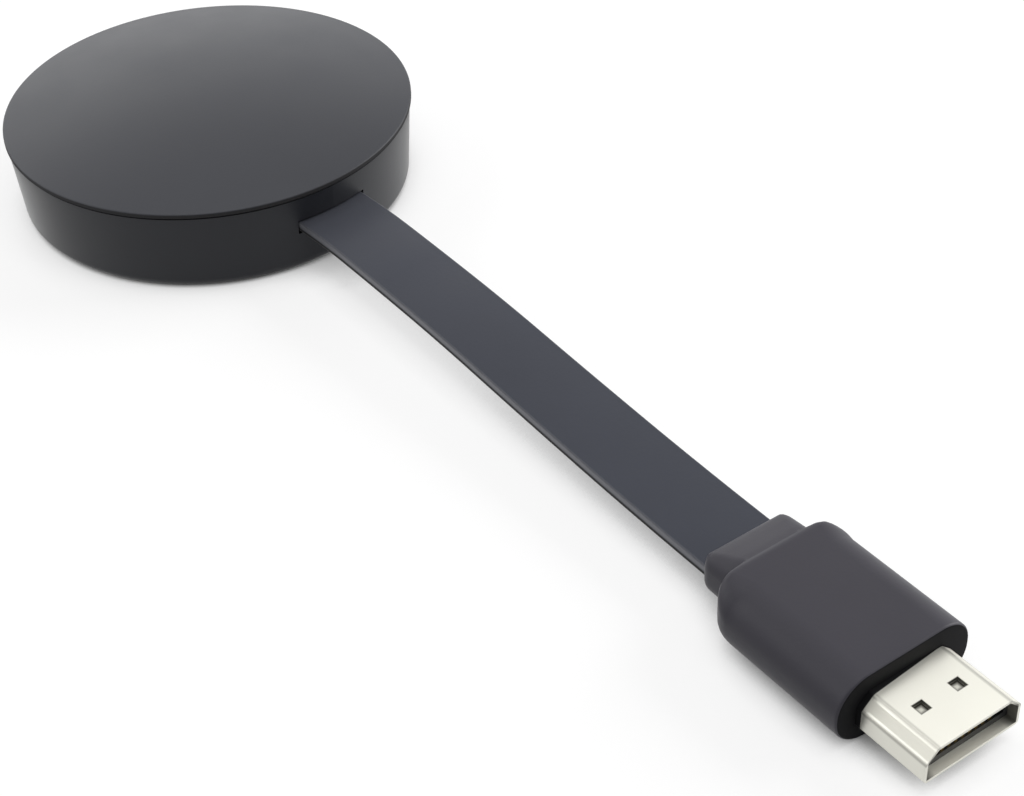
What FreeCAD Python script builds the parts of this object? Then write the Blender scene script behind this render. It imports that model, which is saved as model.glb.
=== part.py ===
import FreeCAD, Part
import Sketcher
import math
import os

# Streaming media stick: a round receiver on a short flat cable that ends in a video plug.
#
# Millimetres. The origin is the middle of the receiver's underside, Z is up, and the cable leaves
# along +X. The plug lies on the same surface as the receiver.

Vector = FreeCAD.Vector
Rotation = FreeCAD.Rotation
X_AXIS, Y_AXIS, Z_AXIS = Vector(1, 0, 0), Vector(0, 1, 0), Vector(0, 0, 1)

doc = FreeCAD.newDocument("MediaStick")
sheet = doc.addObject("Spreadsheet::Sheet", "Sizes")

# Driving sizes

DRIVING_SIZES = [
    # Receiver housing
    ("puck_radius", 30.0),
    ("rim_height", 13.0),
    ("crown_rise", 3.9),
    ("wall", 1.6),
    ("floor_thickness", 1.6),
    ("wall_lean", 0.8),
    ("bottom_rounding", 1.6),
    ("cover_edge", 0.6),
    ("cover_overhang", 0.25),
    ("seam_gap", 0.35),
    ("seam_depth", 0.65),
    ("skirt_depth", 2.8),
    ("skirt_thickness", 1.2),
    ("snap_bead", 0.35),
    ("snap_drop", 1.8),
    ("edge_rounding", 0.25),
    ("fit_gap", 0.1),
    ("close_gap", 0.05),
    # Main board
    ("board_edge_gap", 1.35),
    ("board_flat_gap", 1.4),
    ("board_thickness", 1.2),
    ("board_underside", 5.0),
    ("boss_radius", 2.2),
    ("screw_shank", 0.62),
    ("screw_head", 1.5),
    ("screw_head_height", 0.9),
    ("screw_length", 4.2),
    ("bore_gap", 0.03),
    ("screw_inset", 3.43),
    ("screw_edge", 3.5),
    ("antenna_screw_y", 12.5),
    # Board parts
    ("processor_side", 14.0),
    ("processor_height", 1.1),
    ("pad_thickness", 1.0),
    ("spreader_length", 20.0),
    ("spreader_width", 16.0),
    ("spreader_sheet", 0.8),
    ("spreader_leg", 3.0),
    ("memory_length", 8.0),
    ("memory_width", 12.0),
    ("memory_height", 1.0),
    ("memory_gap", 1.2),
    ("memory_column", 2.0),
    ("flash_length", 6.0),
    ("flash_width", 8.0),
    ("flash_gap", 1.6),
    ("radio_side", 12.0),
    ("radio_board_thickness", 0.8),
    ("radio_can_side", 10.4),
    ("radio_can_height", 1.6),
    ("radio_can_sheet", 0.2),
    ("radio_chip_side", 5.0),
    ("radio_chip_height", 0.8),
    ("radio_gap", 1.5),
    ("antenna_length", 6.4),
    ("antenna_strip", 1.2),
    ("antenna_sheet", 0.25),
    ("antenna_height", 2.8),
    ("antenna_inset", 6.7),
    ("antenna_edge", 0.5),
    ("crystal_length", 3.2),
    ("crystal_width", 2.5),
    ("crystal_height", 0.8),
    ("crystal_column", 13.2),
    ("crystal_row", 9.6),
    ("coil_side", 4.0),
    ("coil_height", 2.0),
    ("coil_pitch", 10.0),
    ("coil_column", 8.0),
    ("regulator_side", 3.0),
    ("regulator_height", 0.9),
    ("regulator_column", 4.0),
    ("capacitor_length", 1.0),
    ("capacitor_width", 0.5),
    ("capacitor_pitch", 1.6),
    ("capacitor_setback", 6.23),
    # Power socket
    ("usb_width", 7.5),
    ("usb_height", 2.6),
    ("usb_depth", 5.6),
    ("usb_sheet", 0.3),
    ("usb_bevel", 0.9),
    ("usb_setback", 0.7),
    ("usb_opening_gap", 0.3),
    ("usb_tongue_width", 3.8),
    ("usb_tongue_height", 0.6),
    ("usb_tongue_setback", 1.0),
    ("usb_block_depth", 1.4),
    ("usb_contact_width", 0.35),
    ("usb_contact_pitch", 0.65),
    ("usb_contact_sheet", 0.12),
    # Status light and reset button
    ("lamp_angle", -22.0),
    ("lamp_width", 3.0),
    ("lamp_depth", 1.0),
    ("lamp_height", 1.8),
    ("lamp_inset", 2.2),
    ("pipe_radius", 0.75),
    ("button_angle", 24.0),
    ("button_height", 7.2),
    ("button_radius", 1.7),
    ("button_proud", 0.5),
    ("button_flange", 2.2),
    ("button_flange_thickness", 0.8),
    ("button_stem", 0.9),
    ("button_ledge", 0.5),
    ("switch_inset", 1.0),
    ("switch_depth", 3.4),
    ("switch_width", 4.6),
    ("switch_height", 3.0),
    ("plunger_radius", 0.9),
    ("plunger_proud", 1.0),
    ("plunger_length", 2.1),
    ("dome_thickness", 0.2),
    ("switch_bore_depth", 1.7),
    # Flat cable
    ("cable_width", 11.1),
    ("cable_thickness", 1.85),
    ("cable_corner", 0.6),
    ("cable_lift", 0.075),
    ("notch_gap", 0.25),
    ("tail_length", 3.0),
    ("anchor_length", 4.0),
    ("anchor_width", 15.0),
    ("anchor_height", 4.0),
    ("cradle_margin", 0.4),
    ("clamp_plate", 1.3),
    ("clamp_screw_bite", 3.0),
    ("clamp_leg", 2.8),
    ("clamp_gap", 0.25),
    ("lead_radius", 0.24),
    ("lead_pitch", 0.82),
    ("lead_pad", 1.5),
    # Plug
    ("plug_face_x", 141.15),
    ("plug_face_y", -10.18),
    ("plug_heading", -5.6),
    ("plug_width", 19.6),
    ("plug_height", 9.4),
    ("plug_side_radius", 4.2),
    ("plug_length", 21.6),
    ("plug_back_rounding", 2.8),
    ("plug_front_rounding", 0.35),
    ("neck_width", 13.0),
    ("neck_height", 5.6),
    ("neck_rise", 0.4),
    ("neck_length", 4.6),
    ("neck_side_radius", 2.4),
    ("neck_rounding", 1.6),
    ("shell_width", 13.9),
    ("shell_height", 4.45),
    ("shell_top_width", 10.7),
    ("shell_shoulder", 1.5),
    ("shell_sheet", 0.35),
    ("shell_corner", 0.5),
    ("shell_reach", 10.15),
    ("shell_root", 6.0),
    ("dimple_side", 1.5),
    ("dimple_pitch", 5.3),
    ("dimple_reach", 5.0),
    ("dimple_depth", 0.45),
    ("dimple_sheet", 0.15),
    ("carrier_setback", 1.3),
    ("slot_width", 11.8),
    ("slot_height", 2.0),
    ("slot_depth", 8.0),
    ("contact_width", 0.45),
    ("contact_sheet", 0.25),
    ("contact_pitch", 1.0),
    ("contact_setback", 0.15),
    ("contact_tail", 1.5),
    ("can_sheet", 0.3),
    ("can_overlap", 1.6),
    ("can_length", 13.0),
    ("can_gap", 0.06),
    ("plug_tail_end", 14.0),
    ("plug_lead_height", 0.62),
    ("plug_lead_radius", 0.28),
]


class Size:
    """A value of the sheet, or a formula of such values: its number now, and its expression."""

    def __init__(self, number, text):
        self.number = float(number)
        self.text = text

    def __add__(self, other):
        other = as_size(other)
        return Size(self.number + other.number, f"({self.text} + {other.text})")

    def __sub__(self, other):
        other = as_size(other)
        return Size(self.number - other.number, f"({self.text} - {other.text})")

    def __mul__(self, other):
        other = as_size(other)
        return Size(self.number * other.number, f"({self.text} * {other.text})")

    def __truediv__(self, other):
        other = as_size(other)
        return Size(self.number / other.number, f"({self.text} / {other.text})")

    def __radd__(self, other):
        return as_size(other) + self

    def __rsub__(self, other):
        return as_size(other) - self

    def __rmul__(self, other):
        return as_size(other) * self

    def __neg__(self):
        return Size(-self.number, f"(0 - {self.text})")


def as_size(value):
    """A Size from a Size or a plain number."""
    return value if isinstance(value, Size) else Size(value, repr(float(value)))


def root(value):
    """The square root of a Size."""
    return Size(math.sqrt(value.number), f"sqrt({value.text})")


for row, (alias, value) in enumerate(DRIVING_SIZES, start=1):
    sheet.set(f"A{row}", alias)
    sheet.set(f"B{row}", str(value))
    sheet.setAlias(f"B{row}", alias)
doc.recompute()
size = {alias: Size(value, f"Sizes.{alias}") for alias, value in DRIVING_SIZES}


# Helpers that build bound features

def bind(thing, prop, value):
    """Tie a property to a formula of the sheet."""
    thing.setExpression(prop, as_size(value).text)


def place(thing, x=0.0, y=0.0, z=0.0, axis=Z_AXIS, angle=0.0):
    """Put an object at a point and turn it about an axis, both tied to the sheet."""
    thing.Placement = FreeCAD.Placement(Vector(), Rotation(axis, max(as_size(angle).number, 1.0)))
    for letter, value in zip("xyz", (x, y, z)):
        bind(thing, f"Placement.Base.{letter}", value)
    bind(thing, "Placement.Rotation.Angle", angle)
    return thing


def box(name, x_start, x_end, y_start, y_end, z_start, z_end):
    """A rectangular block between two values along each axis."""
    block = doc.addObject("Part::Box", name)
    starts = (x_start, y_start, z_start)
    ends = (x_end, y_end, z_end)
    for prop, letter, start, end in zip(("Length", "Width", "Height"), "xyz", starts, ends):
        bind(block, prop, as_size(end) - as_size(start))
        bind(block, f"Placement.Base.{letter}", start)
    return block


def rod(name, radius, start, end, x=0.0, y=0.0, z=0.0, along="z"):
    """A round rod between two values along one axis; x, y and z place it across that axis."""
    bar = doc.addObject("Part::Cylinder", name)
    bind(bar, "Radius", radius)
    bind(bar, "Height", as_size(end) - as_size(start))
    turn = {"z": Rotation(), "x": Rotation(Y_AXIS, 90), "y": Rotation(X_AXIS, -90)}[along]
    bar.Placement = FreeCAD.Placement(Vector(), turn)
    centre = {"x": x, "y": y, "z": z}
    centre[along] = start
    for letter, value in centre.items():
        bind(bar, f"Placement.Base.{letter}", value)
    return bar


def cut(name, base, *tools):
    """A solid with one or more tools taken away."""
    tool = tools[0] if len(tools) == 1 else fuse(f"{name}_tools", *tools)
    result = doc.addObject("Part::Cut", name)
    result.Base = base
    result.Tool = tool
    return result


def fuse(name, *pieces):
    """Several solids joined, or kept side by side where they don't touch."""
    result = doc.addObject("Part::MultiFuse", name)
    result.Shapes = list(pieces)
    return result


def group(name, pieces):
    """Separate solids of one kind that share a node."""
    result = doc.addObject("Part::Compound", name)
    result.Links = list(pieces)
    return result


def body(name):
    """An empty body."""
    return doc.addObject("PartDesign::Body", name)


def sketch_on(host, name, role, offset=0.0):
    """A sketch on one of the body's own origin planes, raised by an offset."""
    plane = [item for item in host.Origin.OriginFeatures if item.Role == role][0]
    sketch = host.newObject("Sketcher::SketchObject", name)
    sketch.AttachmentSupport = [(plane, "")]
    sketch.MapMode = "FlatFace"
    bind(sketch, "AttachmentOffset.Base.z", offset)
    return sketch


def arc_between(start, end, radius, side):
    """The short arc from start to end; side is 1 where its centre is on the left of the way, else -1."""
    chord = end - start
    middle = (start + end) * 0.5
    rise = math.sqrt(max(radius ** 2 - (chord.Length / 2) ** 2, 0.0))
    centre = middle + Vector(-chord.y, chord.x, 0).normalize() * rise * side
    first, last = (start, end) if side > 0 else (end, start)
    angles = [math.atan2(point.y - centre.y, point.x - centre.x) for point in (first, last)]
    return Part.ArcOfCircle(Part.Circle(centre, Z_AXIS, radius), angles[0], angles[1])


def outline(sketch, corners, arcs=None):
    """A closed outline. Each corner is a pair of sizes; arcs gives, for the edge that starts at a
    corner's number, its radius and side. Every corner is tied to the sheet."""
    arcs = arcs or {}
    corners = [(as_size(across), as_size(up)) for across, up in corners]
    points = [Vector(across.number, up.number, 0) for across, up in corners]
    first_edge = sketch.GeometryCount
    total = len(points)
    for index, point in enumerate(points):
        after = points[(index + 1) % total]
        if index in arcs:
            radius, side = arcs[index]
            sketch.addGeometry(arc_between(point, after, as_size(radius).number, side), False)
        else:
            sketch.addGeometry(Part.LineSegment(point, after), False)

    def ends(index):
        backwards = index in arcs and arcs[index][1] < 0
        return (2, 1) if backwards else (1, 2)

    for index in range(total):
        after = (index + 1) % total
        near, far = ends(index)[1], ends(after)[0]
        sketch.addConstraint(
            Sketcher.Constraint("Coincident", first_edge + index, near, first_edge + after, far)
        )
    for index, corner in enumerate(corners):
        edge, end = first_edge + index, ends(index)[0]
        for kind, line, value in (("DistanceX", -2, corner[0]), ("DistanceY", -1, corner[1])):
            if value.text == "0.0":
                sketch.addConstraint(Sketcher.Constraint("PointOnObject", edge, end, line))
                continue
            number = sketch.addConstraint(Sketcher.Constraint(kind, -1, 1, edge, end, value.number))
            bind(sketch, f"Constraints[{number}]", value)
    for index, (radius, side) in arcs.items():
        number = sketch.addConstraint(
            Sketcher.Constraint("Radius", first_edge + index, as_size(radius).number)
        )
        bind(sketch, f"Constraints[{number}]", radius)
    return sketch


def rectangle(sketch, left, right, low, high):
    """A rectangle between two values each way."""
    return outline(sketch, [(left, low), (right, low), (right, high), (left, high)])


def rounded_rectangle(sketch, width, height, radius, middle=0.0, rise=0.0):
    """A rectangle with round corners about a middle point."""
    half_width, half_height = as_size(width) / 2, as_size(height) / 2
    left, right = as_size(middle) - half_width, as_size(middle) + half_width
    low, high = as_size(rise) - half_height, as_size(rise) + half_height
    corners = [
        (left + radius, low), (right - radius, low),
        (right, low + radius), (right, high - radius),
        (right - radius, high), (left + radius, high),
        (left, high - radius), (left, low + radius),
    ]
    return outline(sketch, corners, {1: (radius, 1), 3: (radius, 1), 5: (radius, 1), 7: (radius, 1)})


def circle(sketch, radius, across=0.0, up=0.0):
    """A circle tied to the sheet."""
    across, up, radius = as_size(across), as_size(up), as_size(radius)
    number = sketch.addGeometry(
        Part.Circle(Vector(across.number, up.number, 0), Z_AXIS, radius.number), False
    )
    for kind, line, value in (("DistanceX", -2, across), ("DistanceY", -1, up)):
        if value.text == "0.0":
            sketch.addConstraint(Sketcher.Constraint("PointOnObject", number, 3, line))
            continue
        tie = sketch.addConstraint(Sketcher.Constraint(kind, -1, 1, number, 3, value.number))
        bind(sketch, f"Constraints[{tie}]", value)
    tie = sketch.addConstraint(Sketcher.Constraint("Radius", number, radius.number))
    bind(sketch, f"Constraints[{tie}]", radius)
    return sketch


def extrude(host, kind, sketch, length, reverse=False):
    """A pad or pocket of a sketch over a length, checked to have changed the solid."""
    before = host.Shape.Volume if host.Tip else 0.0
    feature = host.newObject(f"PartDesign::{kind}", f"{sketch.Name}_{kind.lower()}")
    feature.Profile = sketch
    bind(feature, "Length", length)
    feature.Reversed = reverse
    doc.recompute()
    change = host.Shape.Volume - before
    assert (change > 0) == (kind == "Pad") and abs(change) > 1e-6, feature.Name
    return feature


def turn(host, kind, sketch):
    """A revolution or groove of a sketch about the vertical axis, checked like extrude."""
    before = host.Shape.Volume if host.Tip else 0.0
    feature = host.newObject(f"PartDesign::{kind}", f"{sketch.Name}_{kind.lower()}")
    feature.Profile = sketch
    feature.ReferenceAxis = (sketch, ["V_Axis"])
    feature.Angle = 360.0
    doc.recompute()
    change = host.Shape.Volume - before
    assert (change > 0) == (kind == "Revolution") and abs(change) > 1e-6, feature.Name
    return feature


def round_edges(host, name, radius, wanted):
    """A fillet on the edges that a test picks out."""
    doc.recompute()
    base = host.Tip
    names = [f"Edge{n}" for n, edge in enumerate(base.Shape.Edges, start=1) if wanted(edge)]
    assert names, name
    feature = host.newObject("PartDesign::Fillet", name)
    feature.Base = (base, names)
    bind(feature, "Radius", radius)
    doc.recompute()
    return feature


def copies(name, make, spots):
    """A group of like solids, one at each spot."""
    return group(name, [make(f"{name}_{number}", *spot) for number, spot in enumerate(spots, start=1)])


pieces = {}


def keep(name, thing, **where):
    """Name a finished sub-part, and place it if asked."""
    thing.Label = name
    if where:
        place(thing, **where)
    pieces[name] = thing
    return thing


# Heights and radii that several pieces share

s = size
board_top = s["board_underside"] + s["board_thickness"]
cover_under = s["rim_height"] - s["cover_edge"]
seam_height = cover_under - s["seam_gap"]
base_top_radius = s["puck_radius"] - s["cover_overhang"]
base_low_radius = base_top_radius - s["wall_lean"]
inner_top_radius = base_top_radius - s["wall"]
inner_low_radius = base_low_radius - s["wall"]
inner_low_height = s["floor_thickness"] + s["bottom_rounding"]
lean_rate = s["wall_lean"] / (seam_height - inner_low_height)
dome_radius = (s["puck_radius"] * s["puck_radius"] + s["crown_rise"] * s["crown_rise"]) / (2 * s["crown_rise"])
dome_centre = s["rim_height"] + s["crown_rise"] - dome_radius
skirt_low = cover_under - s["skirt_depth"]
cable_height = board_top + s["cable_thickness"] / 2 + s["cable_lift"]
cable_top = cable_height + s["cable_thickness"] / 2
cable_under = cable_height - s["cable_thickness"] / 2
notch_width = s["cable_width"] + 2 * s["notch_gap"]
notch_low = cable_under - s["fit_gap"]
notch_top = cable_top + s["notch_gap"]
plug_middle = s["plug_height"] / 2


def inner_radius(height):
    """The inside radius of the base shell at a height."""
    return inner_top_radius - (seam_height - height) * lean_rate


def outer_radius(height):
    """The outside radius of the base shell at a height."""
    return inner_radius(height) + s["wall"]


def ceiling(reach):
    """The height of the cover's inside at a distance from the middle."""
    inner_dome = dome_radius - s["wall"]
    return dome_centre + root(inner_dome * inner_dome - reach * reach)


skirt_radius = inner_radius(skirt_low) - s["fit_gap"]
skirt_inner = skirt_radius - s["skirt_thickness"]
bead_height = cover_under - s["snap_drop"]
lip_radius = base_top_radius - s["seam_depth"]
board_radius = inner_radius(s["board_underside"]) - s["board_edge_gap"]
screw_bore = s["screw_shank"] + s["bore_gap"]
cradle_top = cable_height - s["anchor_height"] / 2
clamp_top = cradle_top + s["anchor_height"] + s["clamp_plate"]
clamp_half = s["anchor_width"] / 2 + s["fit_gap"] + s["clamp_leg"]
clamp_screw_y = clamp_half - s["clamp_leg"] / 2
clamp_corner = skirt_inner - s["clamp_gap"]
anchor_end = root(clamp_corner * clamp_corner - clamp_half * clamp_half)
anchor_middle = anchor_end - s["anchor_length"] / 2
anchor_start = anchor_end - s["anchor_length"]
tail_end = anchor_start - s["tail_length"]
board_flat = anchor_start - s["board_flat_gap"]
screw_reach = board_radius - s["screw_edge"]
screw_x = board_flat - s["screw_inset"]
screw_y = root(screw_reach * screw_reach - screw_x * screw_x)
screw_spots = [
    (screw_x, screw_y),
    (-screw_x, screw_y),
    (-screw_x, -screw_y),
    (screw_x, -s["antenna_screw_y"]),
]
memory_row = s["spreader_width"] / 2 + s["memory_gap"] + s["memory_width"] / 2
flash_column = s["memory_column"] - s["memory_length"] / 2 - s["flash_gap"] - s["flash_length"] / 2
radio_row = s["spreader_width"] / 2 + s["radio_gap"] + s["radio_side"] / 2
capacitor_column = board_flat - s["capacitor_setback"]
antenna_row = board_radius - s["antenna_inset"]
antenna_reach = board_radius - s["antenna_edge"]
antenna_far = antenna_row + s["antenna_strip"] / 2
antenna_end = root(antenna_reach * antenna_reach - antenna_far * antenna_far)
switch_face = board_radius - s["switch_inset"]
lamp_seat = board_radius - s["lamp_inset"]
lamp_middle = board_top + s["lamp_height"] / 2
ledge_reach = inner_radius(s["button_height"]) + s["button_ledge"]
usb_middle = board_top + s["usb_height"] / 2
usb_front = outer_radius(usb_middle) - s["usb_setback"]
usb_back = usb_front - s["usb_depth"]
spreader_low = board_top + s["processor_height"] + s["pad_thickness"]
wall_reach = s["puck_radius"] + s["wall"]
neck_back = s["plug_length"] + s["neck_length"]
can_front = s["shell_root"] - s["can_overlap"]
can_back = can_front + s["can_length"]
can_inner_half = s["shell_width"] / 2 + s["can_gap"]
can_inner_height = s["shell_height"] / 2 + s["can_gap"]
can_outer_half = can_inner_half + s["can_sheet"]
can_outer_height = can_inner_height + s["can_sheet"]
carrier_inset = s["shell_sheet"] + s["bore_gap"]
carrier_front = s["shell_reach"] - s["carrier_setback"]
carrier_back = s["shell_root"] - s["can_sheet"]
contact_back = carrier_back + s["contact_tail"]


# Receiver housing

def make_base_shell():
    """The lower housing: a leaning wall and floor turned in one, with bosses, cradle and openings."""
    host = body("base_body")
    profile = sketch_on(host, "base_profile", "XZ_Plane")
    outline(profile, [
        (0.0, 0.0),
        (base_low_radius - s["bottom_rounding"], 0.0),
        (base_low_radius, s["bottom_rounding"]),
        (base_top_radius, seam_height),
        (lip_radius, seam_height),
        (lip_radius, cover_under),
        (inner_top_radius, cover_under),
        (inner_top_radius, seam_height),
        (inner_low_radius, inner_low_height),
        (inner_low_radius - s["bottom_rounding"], s["floor_thickness"]),
        (0.0, s["floor_thickness"]),
    ], {1: (s["bottom_rounding"], 1)})
    turn(host, "Revolution", profile)
    groove = sketch_on(host, "snap_groove", "XZ_Plane")
    rectangle(
        groove,
        skirt_radius - s["fit_gap"], skirt_radius + s["snap_bead"] + s["fit_gap"],
        bead_height - s["snap_bead"] - s["fit_gap"], bead_height + s["snap_bead"] + s["fit_gap"],
    )
    turn(host, "Groove", groove)
    sunk = s["floor_thickness"] - s["close_gap"]
    bosses = sketch_on(host, "board_bosses", "XY_Plane", sunk)
    for across, up in screw_spots:
        circle(bosses, s["boss_radius"], across, up)
    extrude(host, "Pad", bosses, s["board_underside"] - sunk)
    cradle = sketch_on(host, "cable_cradle", "XY_Plane", sunk)
    rectangle(
        cradle,
        anchor_start - s["cradle_margin"], anchor_end + s["cradle_margin"], -clamp_half, clamp_half,
    )
    extrude(host, "Pad", cradle, cradle_top - sunk)
    board_bores = sketch_on(host, "board_bores", "XY_Plane", s["board_underside"])
    for across, up in screw_spots:
        circle(board_bores, screw_bore, across, up)
    extrude(host, "Pocket", board_bores, s["board_underside"] - s["floor_thickness"])
    clamp_bores = sketch_on(host, "clamp_bores", "XY_Plane", cradle_top)
    for side in (-1, 1):
        circle(clamp_bores, screw_bore, anchor_middle, side * clamp_screw_y)
    extrude(host, "Pocket", clamp_bores, cradle_top - s["floor_thickness"])
    notch = sketch_on(host, "cable_notch", "YZ_Plane", anchor_end + s["cradle_margin"])
    rectangle(notch, -notch_width / 2, notch_width / 2, notch_low, notch_top)
    extrude(host, "Pocket", notch, wall_reach - anchor_end - s["cradle_margin"], reverse=True)
    usb = sketch_on(host, "usb_opening", "YZ_Plane", -usb_back)
    rounded_rectangle(
        usb,
        s["usb_width"] + 2 * s["usb_opening_gap"], s["usb_height"] + 2 * s["usb_opening_gap"],
        s["usb_bevel"], rise=usb_middle,
    )
    extrude(host, "Pocket", usb, wall_reach - usb_back)
    button_hole = rod("button_hole", s["button_radius"] + s["close_gap"], -wall_reach, -switch_face,
                      z=s["button_height"], along="x")
    button_seat = rod("button_seat", s["button_flange"] + s["fit_gap"], -ledge_reach, -switch_face,
                      z=s["button_height"], along="x")
    button_cutter = place(group("button_cutter", [fuse("button_bore", button_hole, button_seat)]),
                          angle=s["button_angle"])
    pipe_hole = rod("pipe_hole", s["pipe_radius"] + s["close_gap"], -wall_reach, -switch_face,
                    z=lamp_middle, along="x")
    pipe_cutter = place(group("pipe_cutter", [pipe_hole]), angle=s["lamp_angle"])
    return cut("base_cut", host, button_cutter, pipe_cutter)


def make_top_cover():
    """The upper housing: a shallow dome with a thin edge and a skirt that snaps inside the base."""
    host = body("cover_body")
    profile = sketch_on(host, "cover_profile", "XZ_Plane")
    bead_low, bead_high = bead_height - s["snap_bead"], bead_height + s["snap_bead"]
    outline(profile, [
        (0.0, s["rim_height"] + s["crown_rise"]),
        (0.0, s["rim_height"] + s["crown_rise"] - s["wall"]),
        (skirt_inner, ceiling(skirt_inner)),
        (skirt_inner, skirt_low),
        (skirt_radius, skirt_low),
        (skirt_radius, bead_low),
        (skirt_radius + s["snap_bead"], bead_height),
        (skirt_radius, bead_high),
        (skirt_radius, cover_under),
        (s["puck_radius"], cover_under),
        (s["puck_radius"], s["rim_height"]),
    ], {1: (dome_radius - s["wall"], -1), 10: (dome_radius, 1)})
    turn(host, "Revolution", profile)
    round_edges(host, "cover_rim", s["edge_rounding"],
                lambda edge: is_ring(edge, s["puck_radius"], s["rim_height"]))
    return host


def is_ring(edge, radius, height):
    """True for a full circle about the vertical axis with this radius at this height."""
    bounds = edge.BoundBox
    level = abs(bounds.ZMin - height.number) < 1e-4 and abs(bounds.ZMax - height.number) < 1e-4
    return level and edge.isClosed() and abs(bounds.XMax - radius.number) < 1e-3


keep("base_shell", make_base_shell())
keep("top_cover", make_top_cover())


# Main board and its screws

def make_main_board():
    """The round board with a flat side towards the cable and a hole for each screw."""
    host = body("board_body")
    disc = sketch_on(host, "board_disc", "XY_Plane", s["board_underside"])
    circle(disc, board_radius)
    extrude(host, "Pad", disc, s["board_thickness"])
    flat = sketch_on(host, "board_side", "XY_Plane", board_top)
    rectangle(flat, board_flat, wall_reach, -wall_reach, wall_reach)
    extrude(host, "Pocket", flat, s["board_thickness"])
    holes = sketch_on(host, "board_holes", "XY_Plane", board_top)
    for across, up in screw_spots:
        circle(holes, screw_bore + s["fit_gap"], across, up)
    extrude(host, "Pocket", holes, s["board_thickness"])
    return host


def screw(name, across, up, seat, length):
    """A pan-head screw whose head rests at the height seat."""
    shank = rod(f"{name}_shank", s["screw_shank"], seat - length, seat + s["screw_head_height"] / 2,
                x=across, y=up)
    head = rod(f"{name}_head", s["screw_head"], seat, seat + s["screw_head_height"], x=across, y=up)
    return fuse(name, shank, head)


keep("main_board", make_main_board())
keep("board_screws", copies("board_screw", lambda name, x, y: screw(name, x, y, board_top, s["screw_length"]),
                            screw_spots))


# Parts on the board

def chip(name, x, y, length, width, low, high):
    """A square-cut block that stands at a height, about a middle point."""
    half_length, half_width = as_size(length) / 2, as_size(width) / 2
    x, y = as_size(x), as_size(y)
    return box(name, x - half_length, x + half_length, y - half_width, y + half_width, low, high)


def make_heat_spreader():
    """A bent sheet over the processor, with a leg down to the board on each side."""
    half_length, half_width = s["spreader_length"] / 2, s["spreader_width"] / 2
    top = spreader_low + s["spreader_sheet"]
    plate = box("spreader_plate", -half_length, half_length, -half_width, half_width, spreader_low, top)
    legs = [
        box(f"spreader_leg_{number}", -s["spreader_leg"] / 2, s["spreader_leg"] / 2, start, end, board_top, top)
        for number, (start, end) in enumerate(
            [(-half_width, -half_width + s["spreader_sheet"]), (half_width - s["spreader_sheet"], half_width)],
            start=1,
        )
    ]
    return fuse("spreader", plate, *legs)


def make_radio_can():
    """A pressed lid over the radio chip, open underneath."""
    low = board_top + s["radio_board_thickness"]
    high = low + s["radio_can_height"]
    outside = chip("radio_can_outside", 0.0, -radio_row, s["radio_can_side"], s["radio_can_side"],
                   low, high)
    inside_side = s["radio_can_side"] - 2 * s["radio_can_sheet"]
    inside = chip("radio_can_inside", 0.0, -radio_row, inside_side, inside_side,
                  low, high - s["radio_can_sheet"])
    return cut("radio_can_cut", outside, inside)


def make_antenna():
    """A strip on two legs beside the radio."""
    start, end = antenna_end - s["antenna_length"], antenna_end
    near, far = -antenna_far, -antenna_far + s["antenna_strip"]
    top = board_top + s["antenna_height"]
    strip = box("antenna_top", start, end, near, far, top - s["antenna_sheet"], top)
    legs = [
        box("antenna_leg_1", start, start + s["antenna_sheet"], near, far, board_top, top),
        box("antenna_leg_2", end - s["antenna_sheet"], end, near, far, board_top, top),
    ]
    return fuse("antenna_fuse", strip, *legs)


processor_top = board_top + s["processor_height"]
keep("processor_chip", chip("processor", 0.0, 0.0, s["processor_side"], s["processor_side"],
                            board_top, processor_top))
keep("thermal_pad", chip("pad", 0.0, 0.0, s["processor_side"], s["processor_side"],
                         processor_top, spreader_low))
keep("heat_spreader", make_heat_spreader())
keep("memory_chip", chip("memory", s["memory_column"], memory_row, s["memory_length"], s["memory_width"],
                         board_top, board_top + s["memory_height"]))
keep("flash_chip", chip("flash", flash_column, memory_row,
                        s["flash_length"], s["flash_width"], board_top, board_top + s["memory_height"]))
radio_top = board_top + s["radio_board_thickness"]
keep("radio_board", chip("radio", 0.0, -radio_row, s["radio_side"], s["radio_side"],
                         board_top, radio_top))
keep("radio_chip", chip("radio_die", 0.0, -radio_row, s["radio_chip_side"], s["radio_chip_side"],
                        radio_top, radio_top + s["radio_chip_height"]))
keep("radio_can", make_radio_can())
keep("antenna", make_antenna())
keep("clock_crystal", chip("crystal", -s["crystal_column"], -s["crystal_row"],
                           s["crystal_length"], s["crystal_width"], board_top, board_top + s["crystal_height"]))
under = s["board_underside"]
side_rows = [(-s["coil_pitch"] / 2,), (s["coil_pitch"] / 2,)]
keep("power_coils", copies("power_coil", lambda name, y: chip(
    name, -s["coil_column"], y, s["coil_side"], s["coil_side"], under - s["coil_height"], under), side_rows))
keep("power_regulators", copies("power_regulator", lambda name, y: chip(
    name, s["regulator_column"], y, s["regulator_side"], s["regulator_side"],
    under - s["regulator_height"], under), side_rows))
CAPACITORS_PER_SIDE = 8
capacitor_spots = [
    (side * capacitor_column,
     s["capacitor_pitch"] * (place_number - (CAPACITORS_PER_SIDE - 1) / 2))
    for side in (-1, 1) for place_number in range(CAPACITORS_PER_SIDE)
]
keep("board_capacitors", copies("board_capacitor", lambda name, x, y: chip(
    name, x, y, s["capacitor_length"], s["capacitor_width"], board_top, board_top + s["capacitor_width"]),
    capacitor_spots))


# Power socket

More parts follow.
